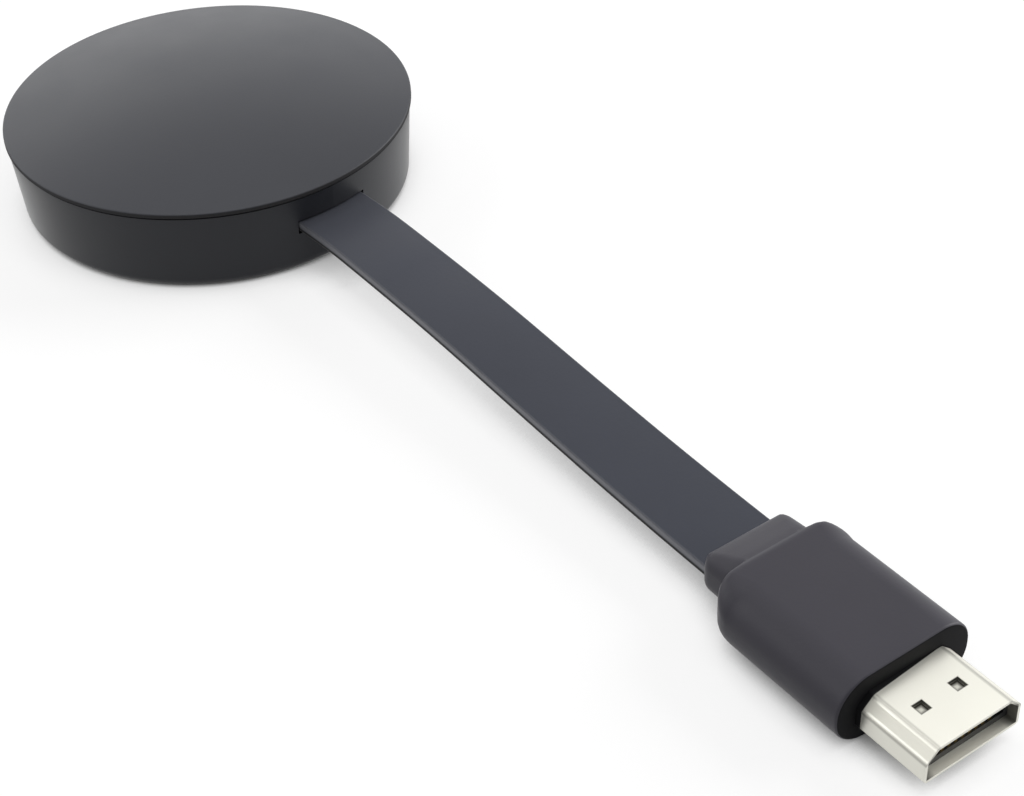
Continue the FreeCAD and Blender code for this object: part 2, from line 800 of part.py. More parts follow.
def socket_outline(sketch, inset):
    """The socket's outline, wide at the top with both lower corners cut off, drawn in by an inset."""
    half = s["usb_width"] / 2 - inset
    low, high = board_top + inset, board_top + s["usb_height"] - inset
    bevel = s["usb_bevel"] - BEVEL_INSET * as_size(inset)
    return outline(sketch, [
        (-half, high), (-half, low + bevel), (-half + bevel, low),
        (half - bevel, low), (half, low + bevel), (half, high),
    ])


BEVEL_INSET = 2 - math.sqrt(2)


def make_usb_shell():
    """The socket's folded steel shell."""
    host = body("usb_shell_body")
    outside = sketch_on(host, "usb_outside", "YZ_Plane", -usb_front)
    socket_outline(outside, as_size(0.0))
    extrude(host, "Pad", outside, s["usb_depth"])
    inside = sketch_on(host, "usb_inside", "YZ_Plane", -usb_back)
    socket_outline(inside, s["usb_sheet"])
    extrude(host, "Pocket", inside, s["usb_depth"])
    return host


def make_usb_tongue():
    """The moulded block at the back of the shell and the tongue that carries the contacts."""
    host = body("usb_tongue_body")
    block = sketch_on(host, "usb_block", "YZ_Plane", -usb_back - s["usb_block_depth"])
    socket_outline(block, s["usb_sheet"] + s["bore_gap"])
    extrude(host, "Pad", block, s["usb_block_depth"])
    tongue = sketch_on(host, "usb_tongue_outline", "YZ_Plane", -usb_front + s["usb_tongue_setback"])
    half, high = s["usb_tongue_width"] / 2, s["usb_tongue_height"] / 2
    rectangle(tongue, -half, half, usb_middle - high, usb_middle + high)
    extrude(host, "Pad", tongue, s["usb_depth"] - s["usb_tongue_setback"])
    return host


def usb_contact(name, y):
    """A strip on the underside of the tongue."""
    low = usb_middle - s["usb_tongue_height"] / 2
    return box(name, -usb_front + s["usb_tongue_setback"] + s["usb_contact_width"],
               -usb_back - s["usb_block_depth"], y - s["usb_contact_width"] / 2,
               y + s["usb_contact_width"] / 2, low - s["usb_contact_sheet"], low)


keep("usb_socket_shell", make_usb_shell())
keep("usb_socket_tongue", make_usb_tongue())
keep("usb_socket_contacts", copies("usb_contact", usb_contact,
                                   [(s["usb_contact_pitch"] * step,) for step in range(-2, 3)]))


# Status light and reset button, each on its own radial line

def make_reset_button():
    """The cap that shows in the wall, the flange that keeps it in, and the stem to the switch."""
    host = body("button_body")
    face = ledge_reach + s["wall"] - s["button_ledge"] + s["button_proud"]
    back = ledge_reach - s["fit_gap"]
    flange_end = back - s["button_flange_thickness"]
    stem_end = switch_face + s["plunger_proud"] + s["fit_gap"]
    profile = sketch_on(host, "button_profile", "XY_Plane")
    outline(profile, [
        (-face, 0.0),
        (-stem_end, 0.0),
        (-stem_end, s["button_stem"]),
        (-flange_end, s["button_stem"]),
        (-flange_end, s["button_flange"]),
        (-back, s["button_flange"]),
        (-back, s["button_radius"]),
        (-face + s["edge_rounding"], s["button_radius"]),
        (-face, s["button_radius"] - s["edge_rounding"]),
    ], {7: (s["edge_rounding"], 1)})
    feature = host.newObject("PartDesign::Revolution", "button_turned")
    feature.Profile = profile
    feature.ReferenceAxis = (profile, ["H_Axis"])
    feature.Angle = 360.0
    return host


def make_switch_case():
    """The small push switch, with the bore that its plunger runs in."""
    back = switch_face - s["switch_depth"]
    case = box("switch_block", -switch_face, -back, -s["switch_width"] / 2, s["switch_width"] / 2,
               board_top, board_top + s["switch_height"])
    bore = rod("switch_bore", s["plunger_radius"] + s["close_gap"], -switch_face,
               -switch_face + s["switch_bore_depth"], z=s["button_height"], along="x")
    return group("switch_case_turned", [cut("switch_case_cut", case, bore)])


bore_end = switch_face - s["switch_bore_depth"]
plunger_front = switch_face + s["plunger_proud"]
keep("reset_button", make_reset_button(), z=s["button_height"], angle=s["button_angle"])
keep("switch_case", make_switch_case(), angle=s["button_angle"])
keep("switch_plunger", group("switch_plunger_turned", [
    rod("plunger", s["plunger_radius"], -plunger_front, -plunger_front + s["plunger_length"],
        z=s["button_height"], along="x")]), angle=s["button_angle"])
keep("switch_dome", group("switch_dome_turned", [
    rod("dome", s["plunger_radius"], -bore_end - s["dome_thickness"], -bore_end,
        z=s["button_height"], along="x")]), angle=s["button_angle"])
lamp_face = lamp_seat + s["lamp_depth"]
keep("status_light", group("status_light_turned", [
    box("lamp", -lamp_face, -lamp_seat, -s["lamp_width"] / 2, s["lamp_width"] / 2,
        board_top, board_top + s["lamp_height"])]), angle=s["lamp_angle"])
keep("light_pipe", group("light_pipe_turned", [
    rod("pipe", s["pipe_radius"], -outer_radius(lamp_middle), -lamp_face - s["fit_gap"],
        z=lamp_middle, along="x")]), angle=s["lamp_angle"])


# Cable end inside the receiver

def cable_bar(name, start, end, grow=0.0):
    """A straight length of the flat cable's section along X, a little larger where asked."""
    host = body(name)
    section = sketch_on(host, f"{name}_section", "YZ_Plane", start)
    rounded_rectangle(section, s["cable_width"] + 2 * as_size(grow), s["cable_thickness"] + 2 * as_size(grow),
                      s["cable_corner"])
    extrude(host, "Pad", section, as_size(end) - as_size(start))
    return host


def make_cable_anchor():
    """The block moulded on the cable, which the clamp holds down."""
    half = s["anchor_width"] / 2
    block = box("anchor_block", anchor_start, anchor_end, -half, half, cradle_top,
                cradle_top + s["anchor_height"])
    hole = place(cable_bar("anchor_hole", anchor_start, anchor_end, s["bore_gap"]),
                 z=cable_height)
    return cut("anchor_cut", block, hole)


def make_cable_clamp():
    """A bridge over the anchor, with a leg and a screw hole at each end."""
    top = cradle_top + s["anchor_height"]
    outside = box("clamp_outside", anchor_start, anchor_end, -clamp_half, clamp_half,
                  cradle_top, clamp_top)
    inside_half = clamp_half - s["clamp_leg"]
    inside = box("clamp_inside", anchor_start, anchor_end, -inside_half, inside_half, cradle_top, top)
    holes = [
        rod(f"clamp_hole_{number}", screw_bore + s["fit_gap"], cradle_top, clamp_top,
            x=anchor_middle, y=side * clamp_screw_y)
        for number, side in enumerate((-1, 1), start=1)
    ]
    return cut("clamp_cut", outside, inside, *holes)


def bent_lead(x_start, y, z_start, x_end, z_end, radius):
    """A round wire that leaves level along -X and turns down onto the board."""
    bend = (z_start - z_end) / 2
    points = [
        Vector(x_start, y, z_start), Vector(x_end + bend, y, z_start),
        Vector(x_end + bend * (1 - math.sqrt(0.5)), y, z_start - bend * (1 - math.sqrt(0.5))),
        Vector(x_end, y, z_start - bend), Vector(x_end, y, z_end),
    ]
    path = Part.Wire([
        Part.LineSegment(points[0], points[1]).toShape(),
        Part.Arc(points[1], points[2], points[3]).toShape(),
        Part.LineSegment(points[3], points[4]).toShape(),
    ])
    section = Part.Wire([Part.Circle(points[0], X_AXIS, radius).toShape()])
    return path.makePipeShell([section], True, True)


LEAD_COUNT = 12


def make_cable_leads():
    """The conductors that fan out of the jacket down to their pads on the board."""
    middle = (LEAD_COUNT - 1) / 2
    leads = [
        bent_lead(tail_end.number, (number - middle) * s["lead_pitch"].number,
                  cable_height.number, (tail_end - s["lead_pad"]).number,
                  board_top.number, s["lead_radius"].number)
        for number in range(LEAD_COUNT)
    ]
    thing = doc.addObject("Part::Feature", "cable_leads_shape")
    thing.Shape = Part.makeCompound(leads)
    return thing


keep("cable_anchor", make_cable_anchor())
keep("cable_clamp", make_cable_clamp())
keep("clamp_screws", copies(
    "clamp_screw",
    lambda name, side: screw(name, anchor_middle, side * clamp_screw_y, clamp_top,
                             s["clamp_plate"] + s["anchor_height"] + s["clamp_screw_bite"]),
    [(-1,), (1,)]))
keep("cable_tail", cable_bar("tail_bar", tail_end, anchor_end), z=cable_height)
keep("cable_leads", make_cable_leads())


# Plug, built along X with the front face of its moulding at zero, then placed on the surface

plug_spot = {"x": s["plug_face_x"], "y": s["plug_face_y"], "z": plug_middle, "angle": s["plug_heading"]}
SHOULDER_INSET = 0.43
TOP_INSET = 0.40
UPPER_CONTACTS = 10
LOWER_CONTACTS = 9


def shell_outline(sketch, inset):
    """The plug's outline: wide below, narrow on top with a sloping shoulder each side."""
    inset = as_size(inset)
    wide = s["shell_width"] / 2 - inset
    narrow = s["shell_top_width"] / 2 - TOP_INSET * inset
    low, high = -s["shell_height"] / 2 + inset, s["shell_height"] / 2 - inset
    shoulder = s["shell_height"] / 2 - s["shell_shoulder"] - SHOULDER_INSET * inset
    return outline(sketch, [
        (-wide, low), (wide, low), (wide, shoulder), (narrow, high), (-narrow, high), (-wide, shoulder),
    ])


def runs_along_x(edge):
    """True for a straight edge along X."""
    bounds = edge.BoundBox
    return bounds.XLength > 1 and bounds.YLength < 1e-4 and bounds.ZLength < 1e-4


def lies_at(edge, x):
    """True for an edge whose every point has this X."""
    bounds = edge.BoundBox
    return abs(bounds.XMin - x.number) < 1e-4 and abs(bounds.XMax - x.number) < 1e-4


def make_plug_moulding():
    """The soft moulding: a thick block with round sides, a narrower neck, and the spaces inside it."""
    host = body("moulding_body")
    block = sketch_on(host, "moulding_block", "YZ_Plane")
    rounded_rectangle(block, s["plug_width"], s["plug_height"], s["plug_side_radius"])
    extrude(host, "Pad", block, s["plug_length"], reverse=True)
    round_edges(host, "moulding_back", s["plug_back_rounding"], lambda edge: lies_at(edge, -s["plug_length"]))
    round_edges(host, "moulding_front", s["plug_front_rounding"], lambda edge: lies_at(edge, as_size(0.0)))
    neck = sketch_on(host, "moulding_neck", "YZ_Plane", -s["plug_length"] + s["plug_back_rounding"])
    rounded_rectangle(neck, s["neck_width"], s["neck_height"], s["neck_side_radius"], rise=s["neck_rise"])
    extrude(host, "Pad", neck, s["neck_length"] + s["plug_back_rounding"], reverse=True)
    round_edges(host, "neck_back", s["neck_rounding"], lambda edge: lies_at(edge, -neck_back))
    cavity = box("can_cavity", -can_back - s["can_gap"], -can_front + s["can_gap"],
                 -can_outer_half - s["can_gap"], can_outer_half + s["can_gap"],
                 -can_outer_height - s["can_gap"], can_outer_height + s["can_gap"])
    mouth = body("mouth_body")
    opening = sketch_on(mouth, "mouth_outline", "YZ_Plane", -can_front)
    shell_outline(opening, -s["can_gap"])
    extrude(mouth, "Pad", opening, can_front)
    entry = cable_bar("entry_bar", -neck_back, -can_back, s["can_gap"])
    return cut("moulding_cut", host, cavity, mouth, entry)


def dimple_squares(sketch, grow):
    """The outlines of both dimples on one face of the shell, larger by grow on every side."""
    half = s["dimple_side"] / 2 + grow
    for side in (-1, 1):
        middle = side * s["dimple_pitch"] / 2
        rectangle(sketch, s["dimple_reach"] - half, s["dimple_reach"] + half, middle - half, middle + half)
    return sketch


def make_plug_shell():
    """The pressed steel shell, open at both ends, with two pressed latch dimples above and two below."""
    host = body("shell_body")
    outside = sketch_on(host, "shell_outside", "YZ_Plane", -s["shell_root"])
    shell_outline(outside, 0.0)
    extrude(host, "Pad", outside, s["shell_root"] + s["shell_reach"])
    round_edges(host, "shell_corners", s["shell_corner"], runs_along_x)
    inside = sketch_on(host, "shell_inside", "YZ_Plane", s["shell_reach"])
    shell_outline(inside, s["shell_sheet"])
    extrude(host, "Pocket", inside, s["shell_root"] + s["shell_reach"])
    for side, name in ((1, "upper"), (-1, "lower")):
        face = side * s["shell_height"] / 2
        pans = sketch_on(host, f"{name}_pans", "XY_Plane", face)
        dimple_squares(pans, s["dimple_sheet"])
        extrude(host, "Pad", pans, s["dimple_depth"] + s["dimple_sheet"], reverse=side > 0)
        dimples = sketch_on(host, f"{name}_dimples", "XY_Plane", face)
        dimple_squares(dimples, 0.0)
        extrude(host, "Pocket", dimples, s["dimple_depth"], reverse=side < 0)
    return host


def make_contact_carrier():
    """The moulded carrier inside the shell, with the slot that a socket's tongue enters."""
    host = body("carrier_body")
    outside = sketch_on(host, "carrier_outside", "YZ_Plane", -carrier_back)
    shell_outline(outside, carrier_inset)
    extrude(host, "Pad", outside, carrier_back + carrier_front)
    slot = sketch_on(host, "carrier_slot", "YZ_Plane", carrier_front)
    rectangle(slot, -s["slot_width"] / 2, s["slot_width"] / 2, -s["slot_height"] / 2, s["slot_height"] / 2)
    extrude(host, "Pocket", slot, s["slot_depth"])
    rows = sketch_on(host, "carrier_rows", "YZ_Plane", carrier_front)
    row_half = (UPPER_CONTACTS - 1) / 2 * s["contact_pitch"] + s["contact_width"] / 2 + s["bore_gap"]
    deep = s["contact_sheet"] + s["bore_gap"]
    rectangle(rows, -row_half, row_half, s["slot_height"] / 2 - deep, s["slot_height"] / 2)
    rectangle(rows, -row_half, row_half, -s["slot_height"] / 2, -s["slot_height"] / 2 + deep)
    extrude(host, "Pocket", rows, carrier_front + carrier_back)
    for side, name in ((1, "upper"), (-1, "lower")):
        pockets = sketch_on(host, f"{name}_pockets", "XY_Plane", side * (s["shell_height"] / 2 - carrier_inset))
        dimple_squares(pockets, s["dimple_sheet"] + s["close_gap"])
        pocket_depth = s["dimple_depth"] + s["dimple_sheet"] - carrier_inset + s["close_gap"]
        extrude(host, "Pocket", pockets, pocket_depth, reverse=side < 0)
    return host


def contact_row(name, count, low, high):
    """A row of flat contacts across the slot."""
    half = s["contact_width"] / 2
    spots = [(s["contact_pitch"] * (number - (count - 1) / 2),) for number in range(count)]
    return copies(name, lambda label, y: box(
        label, -contact_back, carrier_front - s["contact_setback"], y - half, y + half, low, high), spots)


def make_can_half(name, side):
    """One half of the screening can behind the shell: side 1 is the upper half, -1 the lower."""
    def between(start, end):
        return (start, end) if side > 0 else (-end, -start)

    outside = box(f"{name}_outside", -can_back, -can_front, -can_outer_half, can_outer_half,
                  *between(as_size(0.0), can_outer_height))
    inside = box(f"{name}_inside", -can_back + s["can_sheet"], -can_front, -can_inner_half, can_inner_half,
                 *between(as_size(0.0), can_inner_height))
    entry = cable_bar(f"{name}_entry", -can_back, -can_back + s["can_sheet"], s["bore_gap"])
    return cut(f"{name}_cut", outside, inside, entry)


def make_plug_leads():
    """The conductors from the jacket's end to the tails of both rows of contacts."""
    leads = []
    for count, height in ((UPPER_CONTACTS, s["plug_lead_height"]), (LOWER_CONTACTS, -s["plug_lead_height"])):
        for number in range(count):
            y = s["contact_pitch"] * (number - (count - 1) / 2)
            leads.append(rod(f"plug_lead_{count}_{number}", s["plug_lead_radius"], -s["plug_tail_end"],
                             -contact_back, y=y, z=height, along="x"))
    return group("plug_leads_group", leads)


half_slot = s["slot_height"] / 2
keep("plug_moulding", make_plug_moulding(), **plug_spot)
keep("plug_shell", make_plug_shell(), **plug_spot)
keep("plug_contact_carrier", make_contact_carrier(), **plug_spot)
keep("plug_upper_contacts",
     contact_row("upper_contact", UPPER_CONTACTS, half_slot - s["contact_sheet"], half_slot), **plug_spot)
keep("plug_lower_contacts",
     contact_row("lower_contact", LOWER_CONTACTS, -half_slot, -half_slot + s["contact_sheet"]), **plug_spot)
keep("plug_can_upper", make_can_half("can_upper", 1), **plug_spot)
keep("plug_can_lower", make_can_half("can_lower", -1), **plug_spot)
keep("plug_cable_tail", cable_bar("plug_tail_bar", -neck_back, -s["plug_tail_end"]), **plug_spot)
keep("plug_leads", make_plug_leads(), **plug_spot)


# Free cable from the anchor to the plug

def plug_point(reach):
    """The world point on the plug's axis at a distance behind the front face of the moulding."""
    heading = math.radians(s["plug_heading"].number)
    return Vector(s["plug_face_x"].number - reach * math.cos(heading),
                  s["plug_face_y"].number - reach * math.sin(heading), plug_middle.number)


FIRST_RUN = 9.0
LAST_RUN = 13.0
cable_route = [
    Vector(anchor_end.number, 0, cable_height.number),
    Vector(anchor_end.number + FIRST_RUN, 0, cable_height.number),
    Vector(46, -1.05, 7.0),
    Vector(62, -2.5, 6.7),
    Vector(79, -4.1, 5.65),
    plug_point(neck_back.number + LAST_RUN),
    plug_point(neck_back.number),
]


def cable_path(route):
    """Straight runs joined by tangent arcs, and the radii of the arcs."""
    edges, radii, start = [], [], route[0]
    for before, corner, after in zip(route, route[1:], route[2:]):
        to_before, to_after = before - corner, after - corner
        half_turn = (math.pi - to_before.getAngle(to_after)) / 2
        reach = 0.45 * min(to_before.Length, to_after.Length)
        radii.append(reach / math.tan(half_turn))
        one = corner + Vector(to_before).normalize() * reach
        two = corner + Vector(to_after).normalize() * reach
        inward = (Vector(to_before).normalize() + Vector(to_after).normalize()).normalize()
        middle = corner + inward * radii[-1] * (1 / math.cos(half_turn) - 1)
        edges += [Part.LineSegment(start, one).toShape(), Part.Arc(one, middle, two).toShape()]
        start = two
    edges.append(Part.LineSegment(start, route[-1]).toShape())
    return Part.Wire(edges), radii


def make_flat_cable():
    """The flat cable's free stretch: its section swept along the path, kept level across."""
    path, radii = cable_path(cable_route)
    section = pieces["cable_tail"].Shape.Faces
    end = max(section, key=lambda face: face.CenterOfMass.x)
    sweep = Part.BRepOffsetAPI.MakePipeShell(path)
    sweep.setBiNormalMode(Z_AXIS)
    sweep.add(end.OuterWire)
    sweep.build()
    sweep.makeSolid()
    thing = doc.addObject("Part::Feature", "flat_cable_shape")
    thing.Shape = sweep.shape()
    print("cable radii", [round(radius, 1) for radius in radii], "length", round(path.Length, 2))
    print("cable volume", round(thing.Shape.Volume, 2), "section by length", round(end.Area * path.Length, 2))
    return thing


doc.recompute()
keep("flat_cable", make_flat_cable())


# Checks and export

doc.recompute()
for thing in doc.Objects:
    assert not {"Invalid", "Error"} & set(thing.State), (thing.Label, thing.State)
for name, thing in pieces.items():
    shape = thing.Shape
    assert not shape.isNull() and shape.isValid() and shape.Solids, name

os.makedirs("parts", exist_ok=True)
for name, thing in pieces.items():
    thing.Shape.exportStep(f"parts/{name}.step")
whole = Part.makeCompound([thing.Shape for thing in pieces.values()]).BoundBox
print(len(pieces), "nodes, size", round(whole.XLength, 2), round(whole.YLength, 2), round(whole.ZLength, 2))
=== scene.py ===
# %% [markdown]
# A streaming media stick in Blender
#
# The object is a round receiver 60 mm across, a short flat cable and a video plug. All of its
# solids come ready made from the CAD frame, at their real size and place, so this file only gives
# them a camera, light and finishes, and makes again the two soft forms that a machined solid shows
# less well: the cable and the plug's moulding.

# %% Load the frame
import math

import bpy
import numpy as np
from mathutils import Matrix, Vector


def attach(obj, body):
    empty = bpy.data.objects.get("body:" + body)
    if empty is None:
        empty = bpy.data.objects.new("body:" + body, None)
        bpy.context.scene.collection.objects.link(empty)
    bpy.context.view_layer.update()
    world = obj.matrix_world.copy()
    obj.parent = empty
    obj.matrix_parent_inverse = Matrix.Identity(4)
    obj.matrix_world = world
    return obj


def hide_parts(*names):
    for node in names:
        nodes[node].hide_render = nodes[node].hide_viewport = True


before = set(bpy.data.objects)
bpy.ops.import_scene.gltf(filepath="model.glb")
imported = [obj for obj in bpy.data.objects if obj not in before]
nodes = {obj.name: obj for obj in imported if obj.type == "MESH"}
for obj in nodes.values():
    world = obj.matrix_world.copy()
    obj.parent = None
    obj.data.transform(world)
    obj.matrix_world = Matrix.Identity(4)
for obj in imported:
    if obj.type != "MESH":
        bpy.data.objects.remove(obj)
scene = bpy.context.scene
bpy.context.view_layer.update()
MM = 0.001

# %% [markdown]
# The camera
#
# A picture of a real thing has its camera worked out first. The place was fitted to the round rim,
# the cable's edges and the plug. It looks down by about 39 degrees, over the plug's near corner,
# with a slight roll. From about a quarter of a metre the plug looks much larger than it would from
# afar, so distance and lens had to be fitted together.

# %% Make the camera
TARGET = Vector((71.07, -3.97, 0.0)) * MM
TURN, TILT, ROLL = (math.radians(angle) for angle in (49.85, 38.72, -2.68))
DISTANCE = 268.65 * MM
SENSOR_WIDTH, LENS = 36.0, 72.59

back = Vector((math.sin(TURN) * math.cos(TILT), -math.cos(TURN) * math.cos(TILT), math.sin(TILT)))
level_right = Vector((0, 0, 1)).cross(back).normalized()
level_up = back.cross(level_right)
right = level_right * math.cos(ROLL) + level_up * math.sin(ROLL)
up = level_up * math.cos(ROLL) - level_right * math.sin(ROLL)

camera_data = bpy.data.cameras.new("picture_camera")
camera_data.sensor_width = SENSOR_WIDTH
camera_data.lens = LENS
camera = bpy.data.objects.new("picture_camera", camera_data)
scene.collection.objects.link(camera)
turn = Matrix((right, up, back)).transposed().to_4x4()
camera.matrix_world = Matrix.Translation(TARGET + back * DISTANCE) @ turn
scene.camera = camera
scene.view_settings.view_transform = "Standard"
print("camera at", [round(value / MM, 1) for value in camera.matrix_world.translation], "mm")

# %% [markdown]
# Putting arrays into meshes
#
# Each new piece is a set of closed rings that follow each other, like the hoops of a barrel. Such a
# form could also be drawn by hand and extruded, but with arrays every point follows from a few
# sizes. Rings of equally many points are an array of shape (rings, points, 3), and faces join each
# ring to the next. One n-sided face closes each end, so that the piece is a watertight solid.

# %% Rings to a closed mesh
SHARP_FROM = math.radians(38)


def ring_faces(ring_count, point_count):
    """Corner numbers of the quads between rings, facing outwards where rings turn anticlockwise
    as seen from the side they advance to."""
    ring = np.arange(ring_count - 1)[:, None] * point_count
    here = np.arange(point_count)[None, :]
    after = (here + 1) % point_count
    side = np.stack([ring + here, ring + after], -1)
    return np.concatenate([side, side[..., ::-1] + point_count], -1).reshape(-1, 4)


def solid_from_rings(name, rings, body, smooth=True):
    """A mesh through the rings with both ends closed, riding on a CAD body."""
    ring_count, point_count = rings.shape[:2]
    faces = ring_faces(ring_count, point_count).tolist()
    faces.append(list(range(point_count))[::-1])
    faces.append(list(range((ring_count - 1) * point_count, ring_count * point_count)))
    mesh = bpy.data.meshes.new(name)
    mesh.from_pydata(rings.reshape(-1, 3).tolist(), [], faces)
    mesh.polygons.foreach_set("use_smooth", [smooth] * len(mesh.polygons))
    mesh.update()
    mesh.set_sharp_from_angle(angle=SHARP_FROM)
    piece = bpy.data.objects.new(name, mesh)
    scene.collection.objects.link(piece)
    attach(piece, body)
    return piece


print("faces between three rings of four points:", len(ring_faces(3, 4)))

# %% [markdown]
# Both new pieces have a rounded rectangle for their section. Its points are four fans, one for each
# corner: every point has the side that its corner is on, and an angle on its quarter circle.

# %% Rounded section
def corner_fans(steps):
    """The sides, -1 or 1 across and up, and the angles of four corners' points, anticlockwise from
    the upper one on the first side. Each corner's angles fill a quarter turn in equal steps."""
    quarter = np.linspace(0, math.pi / 2, steps)
    angle = (np.arange(4)[:, None] * math.pi / 2 + quarter[None, :]).ravel()
    side = np.repeat([[1, 1], [-1, 1], [-1, -1], [1, -1]], steps, axis=0)
    return side, angle


def rounded_section(half_width, half_height, upper_radius, lower_radius, steps=8):
    """Points of a rectangle with round corners, anticlockwise: each corner is a quarter circle about
    a point one radius in from both sides, and the lower pair has its own radius."""
    side, angle = corner_fans(steps)
    radius = np.where(side[:, 1:] > 0, upper_radius, lower_radius)
    centre = side * (np.array([half_width, half_height]) - radius)
    return centre + radius * np.stack([np.cos(angle), np.sin(angle)], -1)


print("points in a section:", len(rounded_section(2.0, 1.0, 0.2, 0.2)))

# %% [markdown]
# The flat cable
#
# The real cable is a stiff vinyl ribbon. It comes level out of the receiver, sinks a little, and
# enters the plug, all in one easy curve. A NURBS spline draws that curve from the same few points
# that the CAD route has. Blender could give the spline a profile of its own, but then the points of
# the section would be out of reach, so its smooth line is read back as the path of the ribbon.

# %% Cable route
CABLE_ROUTE = np.array([
    (24.031, 0.0, 7.2), (33.031, 0.0, 7.2), (46.0, -1.05, 7.0), (62.0, -2.5, 6.7),
    (79.0, -4.1, 5.65), (102.137, -6.355, 4.7), (115.075, -7.623, 4.7),
]) * MM


def smooth_route(name, points, resolution):
    """The points of a NURBS curve of order three through an open set of control points."""
    curve = bpy.data.curves.new(name, "CURVE")
    curve.dimensions = "3D"
    curve.resolution_u = resolution
    spline = curve.splines.new("NURBS")
    spline.points.add(len(points) - 1)
    spline.points.foreach_set("co", np.column_stack([points, np.ones(len(points))]).ravel())
    spline.order_u = 3
    spline.use_endpoint_u = True
    holder = bpy.data.objects.new(name, curve)
    mesh = bpy.data.meshes.new_from_object(holder)
    line = np.zeros(len(mesh.vertices) * 3)
    mesh.vertices.foreach_get("co", line)
    bpy.data.objects.remove(holder)
    bpy.data.curves.remove(curve)
    bpy.data.meshes.remove(mesh)
    return line.reshape(-1, 3)


cable_line = smooth_route("cable_route", CABLE_ROUTE, 24)
cable_steps = np.linalg.norm(np.diff(cable_line, axis=0), axis=1)
print("cable: points", len(cable_line), "length", round(cable_steps.sum() / MM, 2), "mm")

# %% [markdown]
# The ribbon's section is a rectangle with crisp upper corners and softer lower ones. The near side
# matters in the picture: it stands up from the white sheet, so it mirrors the sheet as a pale line,
# and the rounding below it stays dark; the finish also paints that pale line as a highlight and that
# dark rounding as shade. The section is carried along the path without any twist, because the real
# ribbon lies flat all the way. Each point also keeps its place in the section, so that the finish can
# tell the upright edges, where the highlight and shade are painted, from the flat sides wherever the
# ribbon goes.

# %% Cable ribbon
CABLE_WIDTH, CABLE_THICKNESS = 11.1 * MM, 1.85 * MM
UPPER_CORNER, LOWER_CORNER = 0.22 * MM, 0.6 * MM


def carry_section(section, line):
    """Rings of a flat section along a line: each point is the line's point, plus the section's first
    value along the level sideways direction, plus its second value along the upward one."""
    along = np.gradient(line, axis=0)
    along /= np.linalg.norm(along, axis=1, keepdims=True)
    sideways = np.cross([0.0, 0.0, 1.0], along)
    sideways /= np.linalg.norm(sideways, axis=1, keepdims=True)
    upwards = np.cross(along, sideways)
    return (line[:, None] + section[None, :, :1] * sideways[:, None]
            + section[None, :, 1:] * upwards[:, None])


cable_section = rounded_section(CABLE_WIDTH / 2, CABLE_THICKNESS / 2, UPPER_CORNER, LOWER_CORNER)
cable = solid_from_rings("cable_ribbon", carry_section(cable_section, cable_line), "receiver")
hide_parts("flat_cable")

section_place = np.zeros((len(cable_line), len(cable_section), 3))
section_place[:, :, 1:] = cable_section / MM
section_note = cable.data.attributes.new("section_place", "FLOAT_VECTOR", "POINT")
section_note.data.foreach_set("vector", section_place.ravel())
print("cable ribbon:", len(cable.data.polygons), "faces")

# %% [markdown]
# The plug's moulding
#
# Soft vinyl is moulded round the back of the steel shell. Its sides are nearly half round, its top
# is flat, and a narrower neck slopes down to the ribbon to take up the strain. It could be cut from
# a block with fillets, as the CAD solid is, but the top, whose middle runs on from the neck into the
# body while its edges step up, is easier as a loft: a width, a top and a bottom for each place along
# the plug, with a rounded section between. Tables by place say how far the flat strip on top reaches
# to each side and how high its rounding is, which sets the small shoulders at the body's back.

# %% Plug sizes
PLUG_FACE = Vector((141.15, -10.18, 4.7)) * MM
PLUG_HEADING = math.radians(-5.6)
BODY_BACK, NECK_BACK = -21.2, -26.2
BODY_HALF, NECK_HALF = 9.8, 6.5
BODY_DEPTH, NECK_DEPTH = 4.7, 2.4
PLAN_CORNER = BODY_HALF - NECK_HALF
BOTTOM_RUN = 4.0
FRONT_ROUNDING = 0.35
NECK_SIDE_ROUNDING, NECK_TOP_ROUNDING, NECK_BOTTOM_ROUNDING = 1.6, 1.0, 1.2
SLOPE_PLACES = [NECK_BACK, -24.4, -22.0, -20.6]
SLOPE_HEIGHTS = [3.1, 3.7, 4.4, 4.7]
TOP_PLACES = [NECK_BACK, -24.7, BODY_BACK, BODY_BACK + 0.3, -19.6, -17.6]
FLAT_HALF = [5.3, 4.7, 3.5, 6.4, 6.0, 5.3]
TOP_CORNER = [1.7, 2.05, 3.0, 1.6, 2.9, 4.2]
print("plug body", 2 * BODY_HALF, "mm wide, neck", 2 * NECK_HALF, "mm wide")

# %% Width, top and bottom along the plug
def quarter_rise(distance, radius):
    """How far a quarter circle has risen after a distance from its upright end, from 0 to its radius."""
    left = radius - np.clip(distance, 0, radius)
    return np.sqrt(np.maximum(radius ** 2 - left ** 2, 0))


def lost_at_ends(x, neck_rounding):
    """What the round ends take off a size: a whole radius at the very end, and less by the rise of a
    quarter circle further in."""
    at_neck = neck_rounding - quarter_rise(x - NECK_BACK, neck_rounding)
    at_front = FRONT_ROUNDING - quarter_rise(-x, FRONT_ROUNDING)
    return at_neck + at_front


def half_width(x):
    """Half the moulding's width: the neck's, then a quarter circle out to the body's."""
    step = quarter_rise(x - BODY_BACK, PLAN_CORNER)
    return NECK_HALF + step - lost_at_ends(x, NECK_SIDE_ROUNDING)


def top_height(x):
    """Height of the top over the plug's axis: a slope up the neck that eases into the flat top."""
    return np.interp(x, SLOPE_PLACES, SLOPE_HEIGHTS) - lost_at_ends(x, NECK_TOP_ROUNDING)


def bottom_depth(x):
    """Depth of the underside below the axis: the neck's, then a long quarter ellipse down to the
    body's."""
    drop = quarter_rise((x - BODY_BACK) / BOTTOM_RUN, 1.0) * (BODY_DEPTH - NECK_DEPTH)
    return NECK_DEPTH + drop - lost_at_ends(x, NECK_BOTTOM_ROUNDING)


